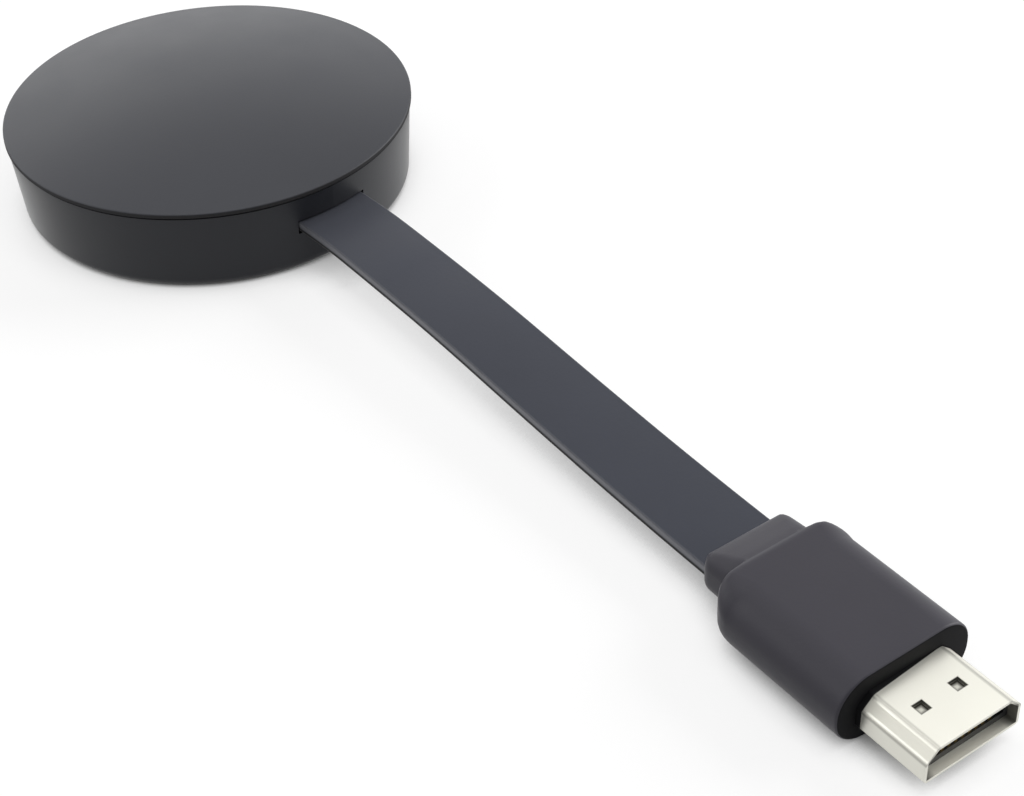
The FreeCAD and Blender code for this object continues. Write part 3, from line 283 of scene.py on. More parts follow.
middle = BODY_BACK / 2
print("in the body's middle: half width", round(float(half_width(middle)), 2), "top",
      round(float(top_height(middle)), 2), "bottom", round(float(bottom_depth(middle)), 2), "mm")

# %% [markdown]
# The section at each place is a rounded rectangle whose upper and lower halves have their own
# heights. Where the moulding ends, its last ring is drawn in to the outline of what passes through
# it, the steel shell in front and the ribbon behind, and goes inside a little way, so that a narrow
# dark joint shows round both as on the real plug.

# %% Moulding sections
LEAST_CORNER = 0.4
MOST_OF_TOP, MOST_OF_BOTTOM = 0.95, 0.98
LOWER_CORNERS = [2.2, 4.7]


def moulding_ring(x, steps=14):
    """One section of the moulding. The upper corners reach from the flat strip on top to the side, and
    the lower corners are as round as the half allows."""
    side, angle = corner_fans(steps)
    upper = side[:, 1] > 0
    width, top, bottom = half_width(x), top_height(x), bottom_depth(x)
    upper_y = max(width - np.interp(x, TOP_PLACES, FLAT_HALF), LEAST_CORNER)
    upper_z = min(np.interp(x, TOP_PLACES, TOP_CORNER), top * MOST_OF_TOP)
    lower_y = np.interp(width, [NECK_HALF, BODY_HALF], LOWER_CORNERS)
    radius_y = np.where(upper, upper_y, lower_y)
    radius_z = np.where(upper, upper_z, bottom * MOST_OF_BOTTOM)
    y = side[:, 0] * (width - radius_y) + radius_y * np.cos(angle)
    z = side[:, 1] * (np.where(upper, top, bottom) - radius_z) + radius_z * np.sin(angle)
    return np.column_stack([np.full(len(y), x), y, z])


def draw_in(ring, corners, x):
    """The ring moved inwards along its rays to a convex outline at x: along each ray it stops at the
    nearest of the lines through neighbouring corners."""
    corners = np.array(corners, float)
    edge = np.roll(corners, -1, axis=0) - corners
    normal = np.stack([edge[:, 1], -edge[:, 0]], -1)
    reach = (normal * corners).sum(1)
    ray = ring[:, 1:] / np.linalg.norm(ring[:, 1:], axis=1, keepdims=True)
    closing = ray @ normal.T
    never = np.full_like(closing, np.inf)
    distance = np.divide(reach, closing, out=never, where=closing > 0).min(1)
    return np.column_stack([np.full(len(ray), x), ray * distance[:, None]])


print("points in a moulding section:", len(moulding_ring(middle)))

# %% Moulding rings
SHELL_CORNERS = [(-7.0, -2.28), (7.0, -2.28), (7.0, 0.72), (5.4, 2.28), (-5.4, 2.28), (-7.0, 0.72)]
RIBBON_CORNERS = [(-5.6, -0.95), (5.6, -0.95), (5.6, 0.95), (-5.6, 0.95)]
RIBBON_INSET, SHELL_INSET = 1.0, 3.0
LAST_STATION = -0.6

round_steps = 1 - np.cos(np.linspace(0, math.pi / 2, 9))
stations = np.concatenate([
    NECK_BACK + NECK_SIDE_ROUNDING * round_steps,
    np.linspace(SLOPE_PLACES[1], BODY_BACK, 10),
    BODY_BACK + PLAN_CORNER * round_steps[1:],
    np.linspace(TOP_PLACES[-1], LAST_STATION, 18),
    -FRONT_ROUNDING * round_steps[::-1],
])
rings = np.array([moulding_ring(x) for x in stations])
rings = np.concatenate([
    [draw_in(rings[0], RIBBON_CORNERS, NECK_BACK + RIBBON_INSET),
     draw_in(rings[0], RIBBON_CORNERS, NECK_BACK)],
    rings,
    [draw_in(rings[-1], SHELL_CORNERS, 0.0), draw_in(rings[-1], SHELL_CORNERS, -SHELL_INSET)],
])
print("moulding rings:", rings.shape)

# %% [markdown]
# The rings are in the plug's own directions, in millimetres, with the front of the moulding at
# zero. A turn about the upright axis and a move bring them to the plug's place in the frame.

# %% Place the moulding on the plug's axis
plug_turn = np.array([
    [math.cos(PLUG_HEADING), -math.sin(PLUG_HEADING), 0],
    [math.sin(PLUG_HEADING), math.cos(PLUG_HEADING), 0],
    [0, 0, 1],
])


def on_plug(points):
    """Points in millimetres along, across and above the plug's axis, moved to the plug's own place."""
    return points @ plug_turn.T * MM + np.array(PLUG_FACE)


moulding = solid_from_rings("plug_grip", on_plug(rings), "receiver")
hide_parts("plug_moulding")
print("plug grip:", len(moulding.data.polygons), "faces")

# %% [markdown]
# Finishes
#
# Every material starts from one Principled shader. Patterns that several finishes share are node
# groups: a moulded grain for plastics, and a fine drawn grain for plated metal. The same nodes could
# be built anew in each material, but a group is made once, and a change to it reaches them all. A
# group only puts out values that vary over the surface, and each material chooses what they do to
# its colour, roughness and relief.

# %% Node group helper
def new_group(name, inputs, outputs):
    """An empty shader node group with float inputs, given with their usual values, and float outputs."""
    group = bpy.data.node_groups.new(name, "ShaderNodeTree")
    for label, value in inputs.items():
        socket = group.interface.new_socket(label, in_out="INPUT", socket_type="NodeSocketFloat")
        socket.default_value = value
    for label in outputs:
        group.interface.new_socket(label, in_out="OUTPUT", socket_type="NodeSocketFloat")
    start = group.nodes.new("NodeGroupInput")
    end = group.nodes.new("NodeGroupOutput")
    return group, start, end


def add_node(tree, kind, **settings):
    """A node of a kind, with its named properties set."""
    node = tree.nodes.new(kind)
    for label, value in settings.items():
        setattr(node, label, value)
    return node


def map_range(tree, value, low, high, to_low, to_high):
    """A Map Range node fed by a socket, with its four limits."""
    node = add_node(tree, "ShaderNodeMapRange")
    tree.links.new(value, node.inputs["Value"])
    for label, number in zip(("From Min", "From Max", "To Min", "To Max"), (low, high, to_low, to_high)):
        node.inputs[label].default_value = number
    return node.outputs["Result"]


# %% [markdown]
# Moulded plastic looks soft because the steel mould was etched: its surface is covered with tiny
# bumps, a few to the millimetre, and handling polishes it unevenly. Two noises do this, a fine one
# for the grain and a broad one for the polish.

# %% Moulded grain
def build_moulded_grain():
    """Fine noise for relief, and broad noise for polish, both read from Object coordinates."""
    group, start, end = new_group("moulded_grain", {"Grain": 2500.0, "Patches": 60.0},
                                  ("Relief", "Polish"))
    place = add_node(group, "ShaderNodeTexCoord").outputs["Object"]
    fine = add_node(group, "ShaderNodeTexNoise")
    broad = add_node(group, "ShaderNodeTexNoise")
    fine.inputs["Detail"].default_value = 2.0
    broad.inputs["Detail"].default_value = 5.0
    broad.inputs["Roughness"].default_value = 0.6
    for noise, label in ((fine, "Grain"), (broad, "Patches")):
        group.links.new(place, noise.inputs["Vector"])
        group.links.new(start.outputs[label], noise.inputs["Scale"])
    group.links.new(fine.outputs["Fac"], end.inputs["Relief"])
    group.links.new(map_range(group, broad.outputs["Fac"], 0.3, 0.7, 0.0, 1.0), end.inputs["Polish"])
    return group


moulded_grain = build_moulded_grain()
print("group:", moulded_grain.name)


# %% [markdown]
# Plated sheet has faint lines from the rolls that drew it. A noise stretched along one direction
# makes them, and a broad one adds the slightly cloudy patches that fingers leave on nickel.

# %% Drawn metal grain
def build_drawn_grain():
    """Noise stretched along X for the drawn lines, and broad noise for cloudy patches."""
    group, start, end = new_group("drawn_grain", {"Lines": 1400.0, "Patches": 110.0},
                                  ("Relief", "Cloud"))
    place = add_node(group, "ShaderNodeTexCoord").outputs["Object"]
    stretch = add_node(group, "ShaderNodeMapping")
    stretch.inputs["Scale"].default_value = (0.04, 1.0, 1.0)
    group.links.new(place, stretch.inputs["Vector"])
    lines = add_node(group, "ShaderNodeTexNoise")
    patches = add_node(group, "ShaderNodeTexNoise")
    patches.inputs["Detail"].default_value = 4.0
    group.links.new(stretch.outputs["Vector"], lines.inputs["Vector"])
    group.links.new(place, patches.inputs["Vector"])
    group.links.new(start.outputs["Lines"], lines.inputs["Scale"])
    group.links.new(start.outputs["Patches"], patches.inputs["Scale"])
    group.links.new(lines.outputs["Fac"], end.inputs["Relief"])
    group.links.new(map_range(group, patches.outputs["Fac"], 0.35, 0.7, 0.0, 1.0), end.inputs["Cloud"])
    return group


drawn_grain = build_drawn_grain()
print("group:", drawn_grain.name)


# %% [markdown]
# One function then makes each finish from a group: two colours between which the broad pattern
# moves, two roughnesses, and how deep the relief is. Values that are the same all over, such as how
# metallic it is, are set on the shader itself.

# %% Finish maker
def screen(*levels):
    """A colour as read from a picture, each level from 0 to 255, made linear."""
    share = np.array(levels) / 255
    return tuple(np.where(share <= 0.04045, share / 12.92, ((share + 0.055) / 1.055) ** 2.4).tolist())


def mix_colours(tree, share, under, over):
    """A colour that moves from one to another with a share from 0 to 1. Each of the two is a plain
    colour or a socket."""
    mix = add_node(tree, "ShaderNodeMix", data_type="RGBA")
    for socket, colour in zip([item for item in mix.inputs if item.type == "RGBA"], (under, over)):
        if isinstance(colour, tuple):
            socket.default_value = (*colour, 1.0)
        else:
            tree.links.new(colour, socket)
    tree.links.new(share, mix.inputs["Factor"])
    return next(item for item in mix.outputs if item.type == "RGBA")


def make_finish(name, group, colours, roughness, relief, scales=(), **shader_values):
    """A material whose colour and roughness move between two values with the group's second output,
    and whose relief follows its first."""
    material = bpy.data.materials.new(name)
    material.use_nodes = True
    tree = material.node_tree
    shader = tree.nodes["Principled BSDF"]
    pattern = add_node(tree, "ShaderNodeGroup", node_tree=group)
    for socket, value in zip(pattern.inputs, scales):
        socket.default_value = value
    fine, broad = pattern.outputs
    tree.links.new(mix_colours(tree, broad, *colours), shader.inputs["Base Color"])
    tree.links.new(map_range(tree, broad, 0.0, 1.0, *roughness), shader.inputs["Roughness"])
    bump = add_node(tree, "ShaderNodeBump")
    bump.inputs["Strength"].default_value = 1.0
    bump.inputs["Distance"].default_value = relief * MM
    tree.links.new(fine, bump.inputs["Height"])
    tree.links.new(bump.outputs["Normal"], shader.inputs["Normal"])
    for label, value in shader_values.items():
        shader.inputs[label.replace("_", " ")].default_value = value
    return material


print("middle grey of a picture, made linear:", round(screen(128)[0], 3))

# %% [markdown]
# The finishes of this object
#
# Outside are the receiver's graphite plastic, a little darker on its base, the ribbon's vinyl, the
# plug's vinyl with a duller end face whose darker colour is painted shade, and the bright nickel of
# the plug's shell. Black nylon and gold show in the plug's mouth. Colours that were read from a
# picture go through the function for that, and metals are given as shares of the light that they
# send back.

# %% Outer finishes
finishes = {
    "cover": make_finish("graphite_cover", moulded_grain, (screen(34, 36, 43), screen(40, 42, 49)),
                         (0.44, 0.52), 0.010, (3200.0, 45.0), Specular_IOR_Level=0.4),
    "base": make_finish("graphite_base", moulded_grain, (screen(20, 22, 29), screen(25, 27, 34)),
                        (0.40, 0.48), 0.008, (3200.0, 45.0), Specular_IOR_Level=0.34,
                        Sheen_Weight=1.0, Sheen_Roughness=0.3),
    "button": make_finish("button_plastic", moulded_grain, (screen(22, 24, 30), screen(27, 29, 35)),
                          (0.32, 0.42), 0.004, (3500.0, 90.0)),
    "ribbon": make_finish("ribbon_vinyl", moulded_grain, (screen(47, 50, 60), screen(52, 55, 65)),
                          (0.46, 0.56), 0.012, (1800.0, 70.0), Specular_IOR_Level=0.25,
                          Sheen_Weight=0.25, Sheen_Roughness=0.3),
    "grip": make_finish("grip_vinyl", moulded_grain, (screen(39, 37, 46), screen(44, 42, 51)),
                        (0.44, 0.54), 0.012, (1800.0, 70.0), Specular_IOR_Level=0.35,
                        Sheen_Weight=0.15, Sheen_Roughness=0.3),
    # painted shade: the end face's colour is kept much darker than the grip's
    "grip_end": make_finish("grip_end_shaded_vinyl", moulded_grain, (screen(14, 14, 16), screen(18, 18, 20)),
                            (0.6, 0.7), 0.012, (1800.0, 70.0), Specular_IOR_Level=0.1),
    "nickel": make_finish("bright_nickel", drawn_grain, ((0.82, 0.81, 0.73), (0.77, 0.76, 0.685)),
                          (0.30, 0.40), 0.0006, Metallic=0.8),
    "carrier": make_finish("black_nylon", moulded_grain, (screen(22, 22, 24), screen(28, 28, 30)),
                           (0.42, 0.55), 0.006, (2600.0, 90.0)),
    "gold": make_finish("gold_plate", drawn_grain, ((0.86, 0.62, 0.26), (0.78, 0.54, 0.20)),
                        (0.18, 0.28), 0.001, Metallic=1.0),
}
print("outer finishes:", len(finishes))

# %% [markdown]
# Marks that belong to one place: painted light and shade
#
# Three finishes have light and shade painted into their colour where the shape asks for it: the
# nickel of the plug's shell, the cover and the ribbon. They could be painted on a picture that is
# wrapped round the piece, but here each mark is a mask, a number from 0 to 1 over the surface,
# worked out from distances: it stays sharp from close by and needs no file. A few helpers do the
# sums, and each mark then reads like a sentence.

# %% Sums on masks
def math_node(tree, operation, first, second=None):
    """A Math node fed by a socket and, if given, by a second socket or a number."""
    node = add_node(tree, "ShaderNodeMath", operation=operation)
    tree.links.new(first, node.inputs[0])
    if isinstance(second, (int, float)):
        node.inputs[1].default_value = second
    elif second is not None:
        tree.links.new(second, node.inputs[1])
    return node.outputs[0]


def distance_to(tree, value, place):
    """How far a value is from a place."""
    return math_node(tree, "ABSOLUTE", math_node(tree, "SUBTRACT", value, place))


def both(tree, first, second):
    """Where two masks agree: their product."""
    return math_node(tree, "MULTIPLY", first, second)


def either(tree, *masks):
    """Where any of the masks is: the largest of them."""
    total = masks[0]
    for mask in masks[1:]:
        total = math_node(tree, "MAXIMUM", total, mask)
    return total


# %% Places and marks in a group
def split_places(group, place):
    """The three parts of a place as sockets."""
    parts = add_node(group, "ShaderNodeSeparateXYZ")
    group.links.new(place, parts.inputs["Vector"])
    return parts.outputs


def give_marks(group, painted_light, dull):
    """Send two masks out of a group: where the colour changes, and where the surface is dull."""
    group.links.new(painted_light, group.nodes["Group Output"].inputs["Painted_light"])
    group.links.new(dull, group.nodes["Group Output"].inputs["Dull"])
    return group


def new_marks(name):
    """An empty group for marks."""
    return new_group(name, {}, ("Painted_light", "Dull"))[0]


# %% [markdown]
# The plug's shell has the most marks. Shade is painted into its colour in the small pressed dimples,
# along both bends of each side, on its slopes and in the mouth's corners, the inside of the mouth is
# dull, and painted shade lies as a thin black band over the shell's back where it meets the moulding.
# A Mapping node turns Object coordinates into millimetres along, across and above the plug's axis.
# Each fade below gives two distances, then the mask at each of them.

# %% Painted shade on the plug's shell
DIMPLE_ALONG, DIMPLE_ASIDE = 5.0, 2.65
UPPER_BEND, LOWER_BEND = 5.35, 0.72
FADES = {
    "dimple edge": (0.70, 0.86, 1.0, 0.0),
    "dimple floor": (0.15, 0.55, 0.3, 1.0),
    "upper bend": (0.15, 0.45, 0.4, 0.0),
    "flat top": (1.8, 2.0, 0.0, 1.0),
    "lower bend": (0.15, 0.45, 0.45, 0.0),
    "upright side": (6.65, 6.8, 0.0, 1.0),
    "beside the top": (5.5, 5.6, 0.0, 0.25),
    "above the side": (0.7, 0.8, 0.0, 1.0),
    "between the sides": (6.60, 6.64, 1.0, 0.0),
    "between top and bottom": (1.88, 1.92, 1.0, 0.0),
    "within the slopes": (7.38, 7.42, 1.0, 0.0),
    "mouth corners": (5.2, 6.3, 0.0, 0.75),
    "lip reach": (4.5, -5.5, 0.0, 0.65),
    "lip edge": (0.05, 0.15, 1.0, 0.0),
}


def fade(group, value, name):
    """A mask that moves between the two values of a named fade."""
    return map_range(group, value, *FADES[name])


def places_on_plug(group):
    """Millimetres along, across and above the plug's axis, as sockets."""
    place = add_node(group, "ShaderNodeTexCoord").outputs["Object"]
    local = add_node(group, "ShaderNodeMapping", vector_type="TEXTURE")
    local.inputs["Location"].default_value = tuple(PLUG_FACE)
    local.inputs["Rotation"].default_value = (0.0, 0.0, PLUG_HEADING)
    local.inputs["Scale"].default_value = (MM, MM, MM)
    group.links.new(place, local.inputs["Vector"])
    return split_places(group, local.outputs["Vector"])


def build_joint_painted_shade():
    """Painted shade on the shell where it meets the moulding, a thin black band: its reach grows from
    none on the plug's left side to its widest on the right."""
    group = new_marks("joint_painted_shade")
    along, across = places_on_plug(group)[:2]
    beyond = math_node(group, "SUBTRACT", along, fade(group, across, "lip reach"))
    joint_shade = fade(group, beyond, "lip edge")
    return give_marks(group, joint_shade, joint_shade)


def build_shell_painted_shade():
    """Painted shade in the square dimples, along the bends, on the slopes and in the mouth's corners,
    and the dull inside of the mouth."""
    group = new_marks("shell_painted_shade")
    along, across, above = places_on_plug(group)
    aside = math_node(group, "ABSOLUTE", across)
    level = math_node(group, "ABSOLUTE", above)

    square = either(group, distance_to(group, along, DIMPLE_ALONG),
                    distance_to(group, aside, DIMPLE_ASIDE))
    dimple = both(group, fade(group, square, "dimple edge"), fade(group, square, "dimple floor"))
    upper_bend = both(group, fade(group, distance_to(group, aside, UPPER_BEND), "upper bend"),
                      fade(group, above, "flat top"))
    lower_bend = both(group, fade(group, distance_to(group, above, LOWER_BEND), "lower bend"),
                      fade(group, aside, "upright side"))
    slopes = both(group, fade(group, aside, "beside the top"), fade(group, above, "above the side"))

    inside = both(group, fade(group, aside, "between the sides"),
                  fade(group, level, "between top and bottom"))
    within = both(group, inside,
                  fade(group, math_node(group, "ADD", aside, above), "within the slopes"))
    corners = both(group, within, fade(group, aside, "mouth corners"))
    return give_marks(group, either(group, dimple, upper_bend, lower_bend, slopes, corners), inside)


shell_painted_shade, joint_painted_shade = build_shell_painted_shade(), build_joint_painted_shade()
print("shell marks:", len(shell_painted_shade.nodes), "nodes, joint line:", len(joint_painted_shade.nodes))

# %% [markdown]
# On the cover, the thin upright edge under the dome is painted darker, as shade, and is duller than
# the top. The ribbon has a painted pale highlight along its upper edges and painted shade along its
# lower ones, which the place in the section tells, and it is painted a little paler, as light, where
# it leaves the receiver.

# %% Painted light and shade on the cover and the ribbon
COVER_EDGE = (12.85 * MM, 13.0 * MM)
EXIT_LIGHT_RUN = (30 * MM, 48 * MM)


def build_run(name, axis, run):
    """One up to the start of a run along an axis of the Object coordinates, none from its end."""
    group = new_marks(name)
    place = split_places(group, add_node(group, "ShaderNodeTexCoord").outputs["Object"])
    mask = map_range(group, place[axis], *run, 1.0, 0.0)
    return give_marks(group, mask, mask)


def build_side_band(name, middle, solid, faded):
    """One along the ribbon's upright sides within a height of a middle one, none beyond a larger
    height, from each point's place in the section in millimetres."""
    group = new_marks(name)
    note = add_node(group, "ShaderNodeAttribute", attribute_name="section_place")
    place = split_places(group, note.outputs["Vector"])
    half = CABLE_WIDTH / 2 / MM
    aside = math_node(group, "ABSOLUTE", place["Y"])
    upright = map_range(group, aside, half - 0.25, half - 0.1, 0.0, 1.0)
    height = distance_to(group, place["Z"], middle)
    band = both(group, upright, map_range(group, height, solid, faded, 1.0, 0.0))
    return give_marks(group, band, band)


cover_rim_painted_shade = build_run("edge_shade", "Z", COVER_EDGE)
exit_painted_light = build_run("exit_painted_light", "X", EXIT_LIGHT_RUN)
upper_edge_painted_highlight = build_side_band("upper_edge_painted_highlight", 0.4, 0.2, 0.6)
lower_edge_painted_shade = build_side_band("lower_edge_painted_shade", -0.7, 0.5, 0.7)
print("groups in all:", len(bpy.data.node_groups))

# %% [markdown]
# A mark is laid over a finish that is there already. It takes what feeds the shader's colour and
# roughness, moves it towards the mark's own where the mask says so, and feeds the shader with the
# outcome, so that several marks can lie over each other.

# %% Lay the marks over the finishes
def add_marks(material, group, colour, roughness):
    """Lay a group's marks over a finish: its colour moves to another where light or shade is painted,
    and its roughness to another where it is dull."""
    tree = material.node_tree
    shader = tree.nodes["Principled BSDF"]
    marks = add_node(tree, "ShaderNodeGroup", node_tree=group)
    clean = shader.inputs["Base Color"].links[0].from_socket
    polished = shader.inputs["Roughness"].links[0].from_socket
    tree.links.new(mix_colours(tree, marks.outputs["Painted_light"], clean, colour), shader.inputs["Base Color"])
    blend = add_node(tree, "ShaderNodeMix", data_type="FLOAT")
    tree.links.new(marks.outputs["Dull"], blend.inputs["Factor"])
    tree.links.new(polished, blend.inputs["A"])
    blend.inputs["B"].default_value = roughness
    tree.links.new(blend.outputs["Result"], shader.inputs["Roughness"])


MARKS = [
    # painted shade in the shell's dimples, along its bends, on its slopes and in the mouth's corners
    ("nickel", shell_painted_shade, screen(52, 50, 44), 0.6),
    # painted shade, a thin black band where the shell meets the moulding
    ("nickel", joint_painted_shade, screen(14, 14, 16), 0.8),
    # painted shade on the cover's upright edge under the dome
    ("cover", cover_rim_painted_shade, screen(14, 14, 17), 0.8),
    # painted light on the ribbon near the receiver, lifting the shade there
    ("ribbon", exit_painted_light, screen(68, 70, 78), 0.5),
    # painted highlight along the upper part of the ribbon's upright sides
    ("ribbon", upper_edge_painted_highlight, screen(130, 131, 137), 0.4),
    # painted shade along the ribbon's lower rounding
    ("ribbon", lower_edge_painted_shade, screen(12, 12, 14), 0.75),
]
for finish, group, colour, roughness in MARKS:
    add_marks(finishes[finish], group, colour, roughness)
print("marks laid:", len(MARKS))

# %% [markdown]
# The inner pieces are seen through the openings or in a cut view only, so a plain finish of the
# right colour, polish and grain is enough for each: green board laminate with its clear lacquer,
# matt chips, grey ferrite, tan ceramic, tin, zinc and aluminium, soft silicone, and the milky lamp
# behind its clear pipe.

# %% Inner finishes
finishes.update({
    "laminate": make_finish("board_laminate", moulded_grain,
                            ((0.012, 0.085, 0.040), (0.018, 0.11, 0.05)),
                            (0.28, 0.40), 0.006, (1500.0, 120.0), Coat_Weight=0.4),
    "epoxy": make_finish("chip_epoxy", moulded_grain, (screen(40, 40, 40), screen(47, 47, 47)),
                         (0.5, 0.62), 0.006, (4000.0, 150.0)),
    "ferrite": make_finish("ferrite", moulded_grain, (screen(62, 62, 62), screen(78, 78, 78)),
                           (0.6, 0.75), 0.02, (1800.0, 200.0)),
    "ceramic": make_finish("ceramic", moulded_grain, ((0.36, 0.24, 0.14), (0.45, 0.31, 0.19)),
                           (0.35, 0.5), 0.004, (3000.0, 400.0)),
    "tin": make_finish("tin_plate", drawn_grain, ((0.70, 0.69, 0.67), (0.60, 0.59, 0.57)),
                       (0.28, 0.42), 0.003, Metallic=1.0),
    "zinc": make_finish("zinc_screw", drawn_grain, ((0.62, 0.61, 0.60), (0.50, 0.50, 0.50)),
                        (0.30, 0.42), 0.003, Metallic=1.0),
    "aluminium": make_finish("rolled_aluminium", drawn_grain, ((0.82, 0.82, 0.83), (0.74, 0.74, 0.75)),
                             (0.30, 0.42), 0.004, Metallic=1.0),
    "silicone": make_finish("pad_silicone", moulded_grain, ((0.30, 0.38, 0.48), (0.36, 0.44, 0.54)),
                            (0.6, 0.75), 0.02, (1500.0, 150.0)),
    "resin": make_finish("lamp_resin", moulded_grain, ((0.78, 0.76, 0.66), (0.84, 0.82, 0.74)),
                         (0.15, 0.25), 0.002, (1500.0, 200.0)),
    "acrylic": make_finish("clear_acrylic", moulded_grain, ((0.86, 0.88, 0.88), (0.92, 0.94, 0.94)),
                           (0.12, 0.25), 0.003, (1500.0, 200.0), Transmission_Weight=0.85),
    "insulation": make_finish("lead_insulation", moulded_grain,
                              (screen(120, 120, 120), screen(135, 135, 135)),
                              (0.4, 0.5), 0.006, (1500.0, 200.0)),
})
print("finishes in all:", len(finishes))

# %% [markdown]
# Each node of the frame takes the finish of what it is made of. A node's mesh stays as it is, and
# only its list of materials changes. The moulding has two: its faces at the front end, told by how
# far along the plug's axis they are, take the duller one, whose dark colour is painted shade.

# %% Dress the frame
WORN_BY = {
    "cover": ["top_cover"],
    "base": ["base_shell"],
    "button": ["reset_button"],
    "nickel": ["plug_shell", "usb_socket_shell"],
    "carrier": ["usb_socket_tongue", "plug_contact_carrier", "switch_case", "switch_plunger",
                "cable_clamp"],
    "gold": ["usb_socket_contacts", "plug_upper_contacts", "plug_lower_contacts"],
    "laminate": ["main_board", "radio_board"],
    "epoxy": ["processor_chip", "memory_chip", "flash_chip", "radio_chip", "power_regulators"],
    "ferrite": ["power_coils"],
    "ceramic": ["board_capacitors"],
    "tin": ["radio_can", "antenna", "clock_crystal", "plug_can_upper", "plug_can_lower",
            "switch_dome"],
    "zinc": ["board_screws", "clamp_screws"],
    "aluminium": ["heat_spreader"],
    "silicone": ["thermal_pad"],
    "resin": ["status_light"],
    "acrylic": ["light_pipe"],
    "ribbon": ["cable_tail", "plug_cable_tail", "cable_anchor", "flat_cable"],
    "insulation": ["cable_leads", "plug_leads"],
    "grip": ["plug_moulding"],
}


def wear(piece, finish):
    """Give a piece one finish in place of whatever it had."""
    piece.data.materials.clear()
    piece.data.materials.append(finishes[finish])


for finish, names in WORN_BY.items():
    for name in names:
        wear(nodes[name], finish)
wear(cable, "ribbon")
wear(moulding, "grip")
moulding.data.materials.append(finishes["grip_end"])

END_FACE = -0.06
face_middles = np.zeros(len(moulding.data.polygons) * 3)
moulding.data.polygons.foreach_get("center", face_middles)
face_places = (face_middles.reshape(-1, 3) - np.array(PLUG_FACE)) @ plug_turn[:, 0] / MM
moulding.data.polygons.foreach_set("material_index", (face_places > END_FACE).astype(np.int32))
print("dressed:", sum(len(names) for names in WORN_BY.values()), "nodes")

# %% [markdown]
# Floor and light
#
# The object lies on a white sheet inside a white tent. Reflections and the camera see the tent at
# full white, which is what makes the nickel bright and gives dark plastic its pale rims, while the
# plain light that the tent sheds is kept low. The floor takes the soft shadows, and seen by the
# camera or in a reflection it glows, so that it reaches white without more light on the object. The
# glow fades in narrow corners, as under the receiver's edge, and for the camera it rises to the
# tent's white far away, so that no horizon shows in a low view.

# %% Floor
FLOOR_HALF, FLOOR_DROP, FLOOR_GREY = 4.0, 0.05 * MM, 0.4
FLOOR_GLOW, MIRRORED_GLOW, GLOW_RUN = 0.67, 0.62, (0.4, 1.5)
SHADE_REACH, SHADE_RANGE = 9 * MM, (0.1, 0.56, 0.0, 1.0)


def make_floor():
    """A large pale sheet just under the object. Its glow is one level for the camera and another for
    reflections, each switched on by the kind of ray that meets it, times how open the place is."""
    square = np.array([(-1, -1), (1, -1), (1, 1), (-1, 1)]) * FLOOR_HALF
    corners = np.column_stack([square, np.full(4, -FLOOR_DROP)])
    mesh = bpy.data.meshes.new("floor_sheet")
    mesh.from_pydata(corners.tolist(), [], [(0, 1, 2, 3)])
    sheet = bpy.data.objects.new("floor_sheet", mesh)
    scene.collection.objects.link(sheet)
    material = bpy.data.materials.new("floor_paper")
    material.use_nodes = True
    mesh.materials.append(material)
    tree = material.node_tree
    shader = tree.nodes["Principled BSDF"]
    shader.inputs["Base Color"].default_value = (FLOOR_GREY, FLOOR_GREY, FLOOR_GREY, 1.0)
    shader.inputs["Roughness"].default_value = 0.9
    shader.inputs["Specular IOR Level"].default_value = 0.0
    shader.inputs["Emission Color"].default_value = (1.0, 1.0, 1.0, 1.0)

    rays = add_node(tree, "ShaderNodeLightPath").outputs
    place = add_node(tree, "ShaderNodeTexCoord").outputs["Object"]
    away = add_node(tree, "ShaderNodeVectorMath", operation="LENGTH")
    tree.links.new(place, away.inputs[0])
    seen = both(tree, rays["Is Camera Ray"],
                map_range(tree, away.outputs["Value"], *GLOW_RUN, FLOOR_GLOW, 1.0))
    mirrored = both(tree, rays["Is Glossy Ray"], MIRRORED_GLOW)
    # The glow fades where the object is near: painted shade on the floor and in its reflections.
    nearby = add_node(tree, "ShaderNodeAmbientOcclusion", samples=8)
    nearby.inputs["Distance"].default_value = SHADE_REACH
    open_share = map_range(tree, nearby.outputs["AO"], *SHADE_RANGE)
    glow = both(tree, math_node(tree, "ADD", seen, mirrored), open_share)
    tree.links.new(glow, shader.inputs["Emission Strength"])
    return sheet


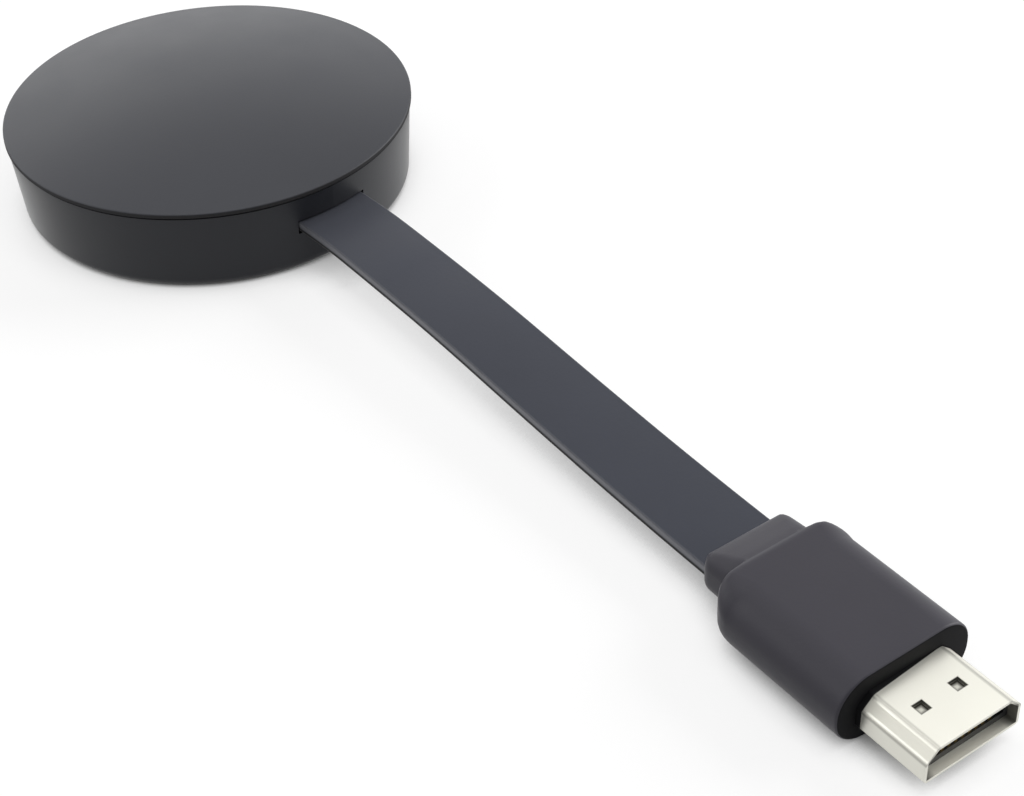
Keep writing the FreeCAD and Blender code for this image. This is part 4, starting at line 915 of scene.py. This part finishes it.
floor = make_floor()
print("floor:", 2 * FLOOR_HALF, "m wide,", FLOOR_DROP / MM, "mm under the object")

# %% [markdown]
# The lamps could be set by eye, but they were found by a small sum. Lamps only add, so the scene was
# drawn once with each lamp alone, and the mix that best gives the tones of the picture follows by
# least squares. It says that the strong light is low behind the cable, with weaker ones on the left
# and overhead.

# %% Light
def make_world(level):
    """White for the camera, mirrors and clear plastic, and light of a lower level for the rest."""
    world = bpy.data.worlds.new("studio_world")
    scene.world = world
    world.use_nodes = True
    tree = world.node_tree
    background = tree.nodes["Background"]
    background.inputs["Color"].default_value = (1.0, 1.0, 1.0, 1.0)
    rays = add_node(tree, "ShaderNodeLightPath").outputs
    direct = either(tree, rays["Is Camera Ray"], rays["Is Glossy Ray"], rays["Is Transmission Ray"])
    tree.links.new(map_range(tree, direct, 0.0, 1.0, level, 1.0), background.inputs["Strength"])
    return world


WORLD_LEVEL = 0.2
AIM, LAMP_DISTANCE, LAMP_SIZE = Vector((0.06, 0.0, 0.005)), 1.6, 1.1


def make_softbox(name, side, level):
    """A large square lamp towards one side of the object, as bright as the level says against the
    tent's white: its power is its level times pi times its area."""
    data = bpy.data.lights.new(name, "AREA")
    data.shape = "SQUARE"
    data.size = LAMP_SIZE
    data.energy = level * math.pi * LAMP_SIZE ** 2
    lamp = bpy.data.objects.new(name, data)
    scene.collection.objects.link(lamp)
    direction = Vector(side).normalized()
    lamp.location = AIM + direction * LAMP_DISTANCE
    lamp.rotation_euler = (-direction).to_track_quat("-Z", "Y").to_euler()
    return lamp


make_world(WORLD_LEVEL)
LAMPS = {
    "lamp_behind": ((0.25, 0.9, 0.35), 5.2),
    "lamp_left": ((-0.92, -0.05, 0.4), 1.1),
    "lamp_far_left": ((-0.8, 0.55, 0.25), 1.0),
    "lamp_overhead": ((0.0, 0.0, 1.0), 2.4),
    "lamp_near_left": ((-0.6, -0.63, 0.5), 1.4),
}
for name, (side, level) in LAMPS.items():
    make_softbox(name, side, level)
print("lamps:", len(LAMPS))
